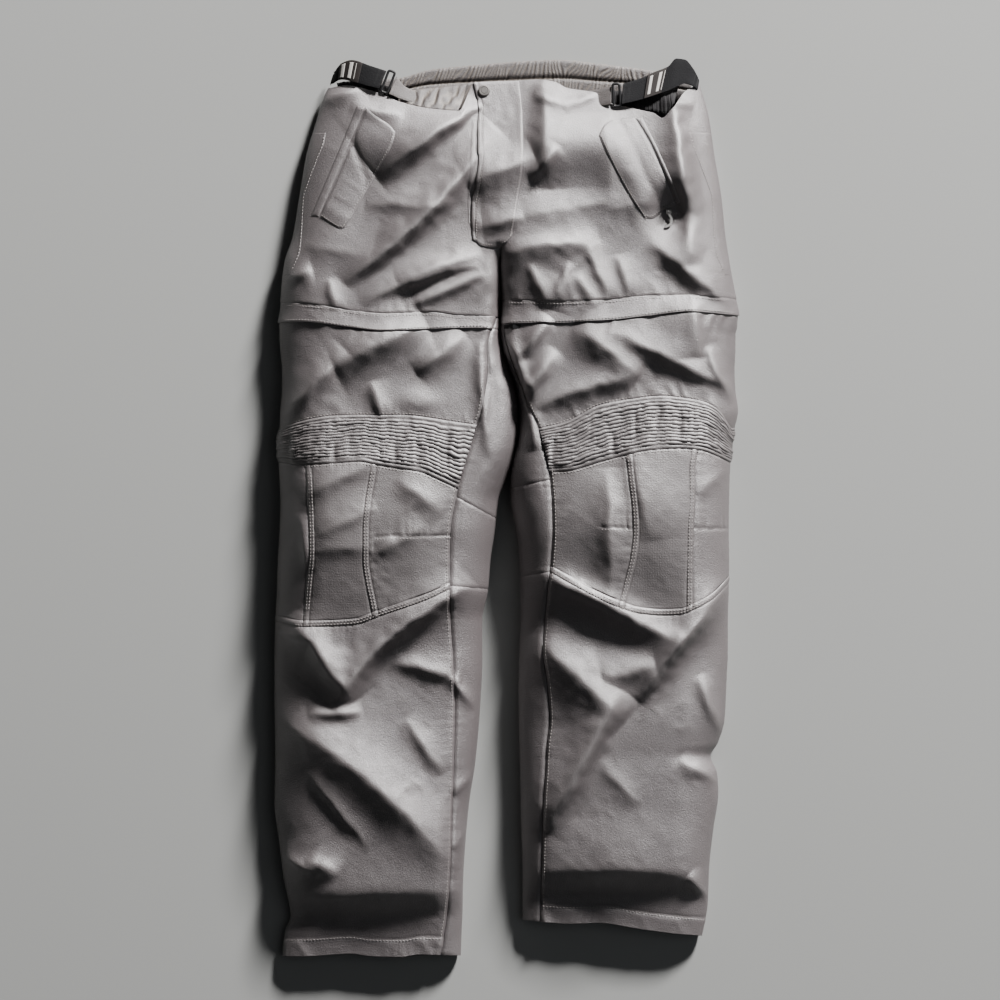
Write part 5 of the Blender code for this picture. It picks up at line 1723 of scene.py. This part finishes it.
@dataclass
class Stitching:
    """Rows of thread along the seams, each stitch a small bead on the cloth."""

    pitch: float = 4.0
    length: float = 2.9
    width: float = 0.95
    height: float = 1.0
    raised: float = CLOTH + 0.15
    paths: list[np.ndarray] = field(default_factory=list)

    def across(self, leg: Leg, line: Line, offset: float, lift: float = 0.0, first: Line | None = None,
               last: Line | None = None) -> None:
        """Adds a row across the leg.

        Args:
            leg: The leg.
            line: The seam that it follows.
            offset: How far below the seam it runs.
            lift: How far the cloth stands above the form there.
            first: Where it starts, as a reach, by default the outseam.
            last: Where it ends, by default the inseam.
        """
        u = np.linspace(0.015, 0.985, 240)
        drop = np.full(240, float(line(np.array([leg.sign * MID_LEG]))[0]) + offset)
        for _ in range(10):
            start = first(drop) if first else 0 * drop
            end = last(drop) if last else leg.inseam(drop)
            s = start * (1 - u) + end * u
            drop = 0.3 * drop + 0.7 * (line(leg.x_at(drop, s)) + offset)
        self.paths.append(leg.point(drop, s) + (0, 0, lift + self.raised))

    def down(self, leg: Leg, seam: Line, offset: float, start: float, end: float, lift: float = 0.0) -> None:
        """Adds a row down the leg beside a seam given as a reach by drop."""
        drop = np.linspace(start, end, max(12, round((end - start) / 2)))
        self.paths.append(leg.point(drop, seam(drop) + offset) + (0, 0, lift + self.raised))

    def along_front(self, spots: Rows, lift: float) -> None:
        """Adds a row through spots of x and drop on the front."""
        way = along(spots, np.linspace(0, 1, 160))
        self.paths.append(front_at(way[:, 0], way[:, 1]) + (0, 0, lift + self.raised))

    def places(self, path: np.ndarray) -> list[Matrix]:
        """Where each stitch of a row lies.

        Args:
            path: The row's points.

        Returns:
            One matrix for each stitch, with its place, turn and size.
        """
        steps = np.linalg.norm(np.diff(path, axis=0), axis=1)
        way = np.concatenate([[0], np.cumsum(steps)])
        at = np.arange(self.pitch / 2, way[-1], self.pitch)
        middle = np.stack([np.interp(at, way, path[:, k]) for k in range(3)], axis=-1)
        run = np.stack([np.interp(at + 0.8, way, path[:, k]) for k in range(3)], axis=-1) - middle
        run /= np.maximum(np.linalg.norm(run, axis=1, keepdims=True), 1e-6)
        side = np.cross((0.0, 0.0, 1.0), run)
        side /= np.maximum(np.linalg.norm(side, axis=1, keepdims=True), 1e-6)
        up = np.cross(run, side)
        frames = np.zeros((len(at), 4, 4))
        for k, part in enumerate((run * self.length, side * self.width, up * self.height, middle)):
            frames[:, :3, k] = part * MM
        frames[:, 3, 3] = 1
        return [Matrix(one.tolist()) for one in frames]

    def build(self, name: str) -> bpy.types.Object:
        """Makes every stitch of the rows as one piece.

        Args:
            name: The piece's name.

        Returns:
            The piece, riding on the trousers.
        """
        whole = bmesh.new()
        mesh = bpy.data.meshes.new(name)
        count = 0
        for path in self.paths:
            row = bmesh.new()
            for place in self.places(path):
                bmesh.ops.create_icosphere(row, subdivisions=1, radius=0.5, matrix=place)
                count += 1
            row.to_mesh(mesh)
            row.free()
            whole.from_mesh(mesh)
        whole.to_mesh(mesh)
        whole.free()
        mesh.shade_smooth()
        # The stitches take the pale thread finish, a painted highlight.
        mesh.materials.append(HIGHLIT_THREAD.material())
        piece = bpy.data.objects.new(name, mesh)
        bpy.context.scene.collection.objects.link(piece)
        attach(piece, BODY)
        LOG.info("%s: %d stitches", name, count)
        return piece


def sew(leg: Leg) -> bpy.types.Object:
    """Puts the stitches on one leg.

    Args:
        leg: The leg.

    Returns:
        The stitches as one piece.
    """
    side = leg.name
    rows = Stitching()
    band_top, band_foot = line_of(BAND_TOP[side]), line_of(BAND_FOOT[side])
    stretch_top, stretch_foot = line_of(STRETCH_TOP[side]), line_of(STRETCH_FOOT[side])
    knee_foot, hem = line_of(KNEE_FOOT[side]), line_of(HEM[side])
    outer_seam, inner_seam = leg.seam(KNEE_OUTER_SEAM[side]), leg.seam(KNEE_INNER_SEAM[side])
    rows.across(leg, band_top, 3.0, 0.1)
    rows.across(leg, band_foot, -3.2, BAND_RISE - 0.9)
    rows.across(leg, stretch_top, -2.6)
    rows.across(leg, stretch_foot, 2.8)
    for offset in KNEE_FOOT_ROWS:
        rows.across(leg, knee_foot, -offset, STRIP_RISE)
    rows.across(leg, hem, -HEM_DEPTH + 1.5, 0.7)
    for seam, inwards in ((outer_seam, 1), (inner_seam, -1)):
        for offset in STRIP_ROWS:
            rows.down(leg, seam, offset * inwards, float(STRETCH_FOOT[side][4][1]) + 8,
                      float(KNEE_FOOT[side][4][1]) - 6, STRIP_RISE)
    rows.down(leg, leg.inseam, -3.6, 360, 1036 if side == "left" else 1078)
    edge = leg.seam([(drop, out) for drop, out in SIDE_POCKET_EDGE])
    rows.down(leg, edge, -3.2, SIDE_POCKET["top"] + 4, SIDE_POCKET["foot"] - 6, 0.6)
    for (x0, drop0), (x1, drop1) in DARTS[side]:
        rows.along_front(((x0, drop0 + 3), (x1, drop1 + 3)), -0.3)
    return rows.build(f"{side}_stitching")


def sew_trim() -> bpy.types.Object:
    """Puts the finer stitches on the flaps and the fly.

    Returns:
        The stitches as one piece.
    """
    rows = Stitching(pitch=3.4, length=2.5, width=0.8, height=0.9, raised=0.3)
    lift = OVERLAY_GAP + CLOTH
    for side, flap in FLAPS.items():
        inset = 3.2 if side == "left" else -3.2
        free = flap["left"] if side == "left" else flap["right"]
        rows.along_front([(x + inset, drop) for x, drop in free], lift + 0.3)
        rows.along_front([(x, drop - 3.2) for x, drop in flap["foot"]], lift + 0.2)
    rows.along_front([(x + 5, drop) for x, drop in FLY["left"][1:]], lift + 1.0)
    rows.along_front([(x - 2.6, drop) for x, drop in FLY["right"]], lift - 0.2)
    rows.along_front([(x, drop - 3.4) for x, drop in FLY["foot"]], lift)
    return rows.build("trim_stitching")


@dataclass
class Hardware:
    """The small hard parts, which keep their solids and get better finishes."""

    finishes: dict[str, Finish] = field(default_factory=lambda: {
        "fly_snap_cap": SNAP, "left_zip_slider": ZIP_METAL, "left_zip_pull": ZIP_METAL,
        "left_zip_off_end": ZIP_BLACK, "right_strap_ring": RING, "left_strap_ring": RING,
    })

    def dress(self) -> None:
        """Puts each finish on its solid."""
        for name, finish in self.finishes.items():
            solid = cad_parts[name]
            solid.data.materials.clear()
            solid.data.materials.append(finish.material())
            LOG.info("%s: %s", name, finish.slot)


@dataclass
class Studio:
    """The floor, the lights and the camera."""

    centre: tuple[float, float] = (-9.0, 8.0)
    distance: float = 6000.0
    half_view: float = 600.0
    floor_size: float = 6.0
    floor_colour: tuple[float, float, float] = (0.33, 0.336, 0.33)
    floor_roughness: float = 0.9
    room_colour: tuple[float, float, float] = (0.80, 0.83, 0.86)
    room_strength: float = 0.035

    def area(self, name: str, place: tuple[float, float, float], size: float, power: float,
             colour: tuple[float, float, float]) -> None:
        """Adds a square lamp that points at the middle of the trousers.

        Args:
            name: The lamp's name.
            place: Where it hangs, in metres.
            size: Its side in metres.
            power: Its power in watts.
            colour: Its colour.
        """
        lamp = bpy.data.lights.new(name, "AREA")
        lamp.size = size
        lamp.energy = power
        lamp.color = colour
        holder = bpy.data.objects.new(name, lamp)
        holder.location = place
        holder.rotation_euler = (-Vector(place)).to_track_quat("-Z", "Y").to_euler()
        bpy.context.scene.collection.objects.link(holder)

    def build(self) -> None:
        """Makes the floor, lights and camera."""
        floor = bmesh.new()
        bmesh.ops.create_grid(floor, x_segments=1, y_segments=1, size=self.floor_size / 2,
                              matrix=Matrix.Translation((0, 0, -0.0003)))
        mesh = bpy.data.meshes.new("floor")
        floor.to_mesh(mesh)
        floor.free()
        paint = bpy.data.materials.new("pale_floor")
        paint.use_nodes = True
        shader = paint.node_tree.nodes["Principled BSDF"]
        shader.inputs["Base Color"].default_value = (*self.floor_colour, 1)
        shader.inputs["Roughness"].default_value = self.floor_roughness
        mesh.materials.append(paint)
        ground = bpy.data.objects.new("floor", mesh)
        bpy.context.scene.collection.objects.link(ground)
        self.area("key_light", (3.1, 5.75, 2.52), 1.1, 2080.0, (1.0, 0.98, 0.965))
        self.area("fill_light", (1.6, -0.4, 2.2), 2.2, 5.0, (0.93, 0.96, 1.0))
        world = bpy.data.worlds.new("soft_room")
        world.use_nodes = True
        background = world.node_tree.nodes["Background"]
        background.inputs["Color"].default_value = (*self.room_colour, 1)
        background.inputs["Strength"].default_value = self.room_strength
        bpy.context.scene.world = world
        lens = bpy.data.cameras.new("overhead")
        lens.angle = 2 * math.atan(self.half_view / self.distance)
        camera = bpy.data.objects.new("overhead", lens)
        camera.location = (self.centre[0] * MM, self.centre[1] * MM, (self.distance + 40) * MM)
        bpy.context.scene.collection.objects.link(camera)
        bpy.context.scene.camera = camera


def main() -> None:
    """Builds every sub-assembly in order."""
    logging.basicConfig(level=logging.INFO, format="%(message)s")
    for leg in LEGS.values():
        LegPanels(leg).build()
        PocketSet(leg).build()
        WaistSet(leg).build()
        sew(leg)
    Fly().build()
    BackCasing().build()
    sew_trim()
    Hardware().dress()
    Studio().build()


if __name__ == "__main__":
    main()
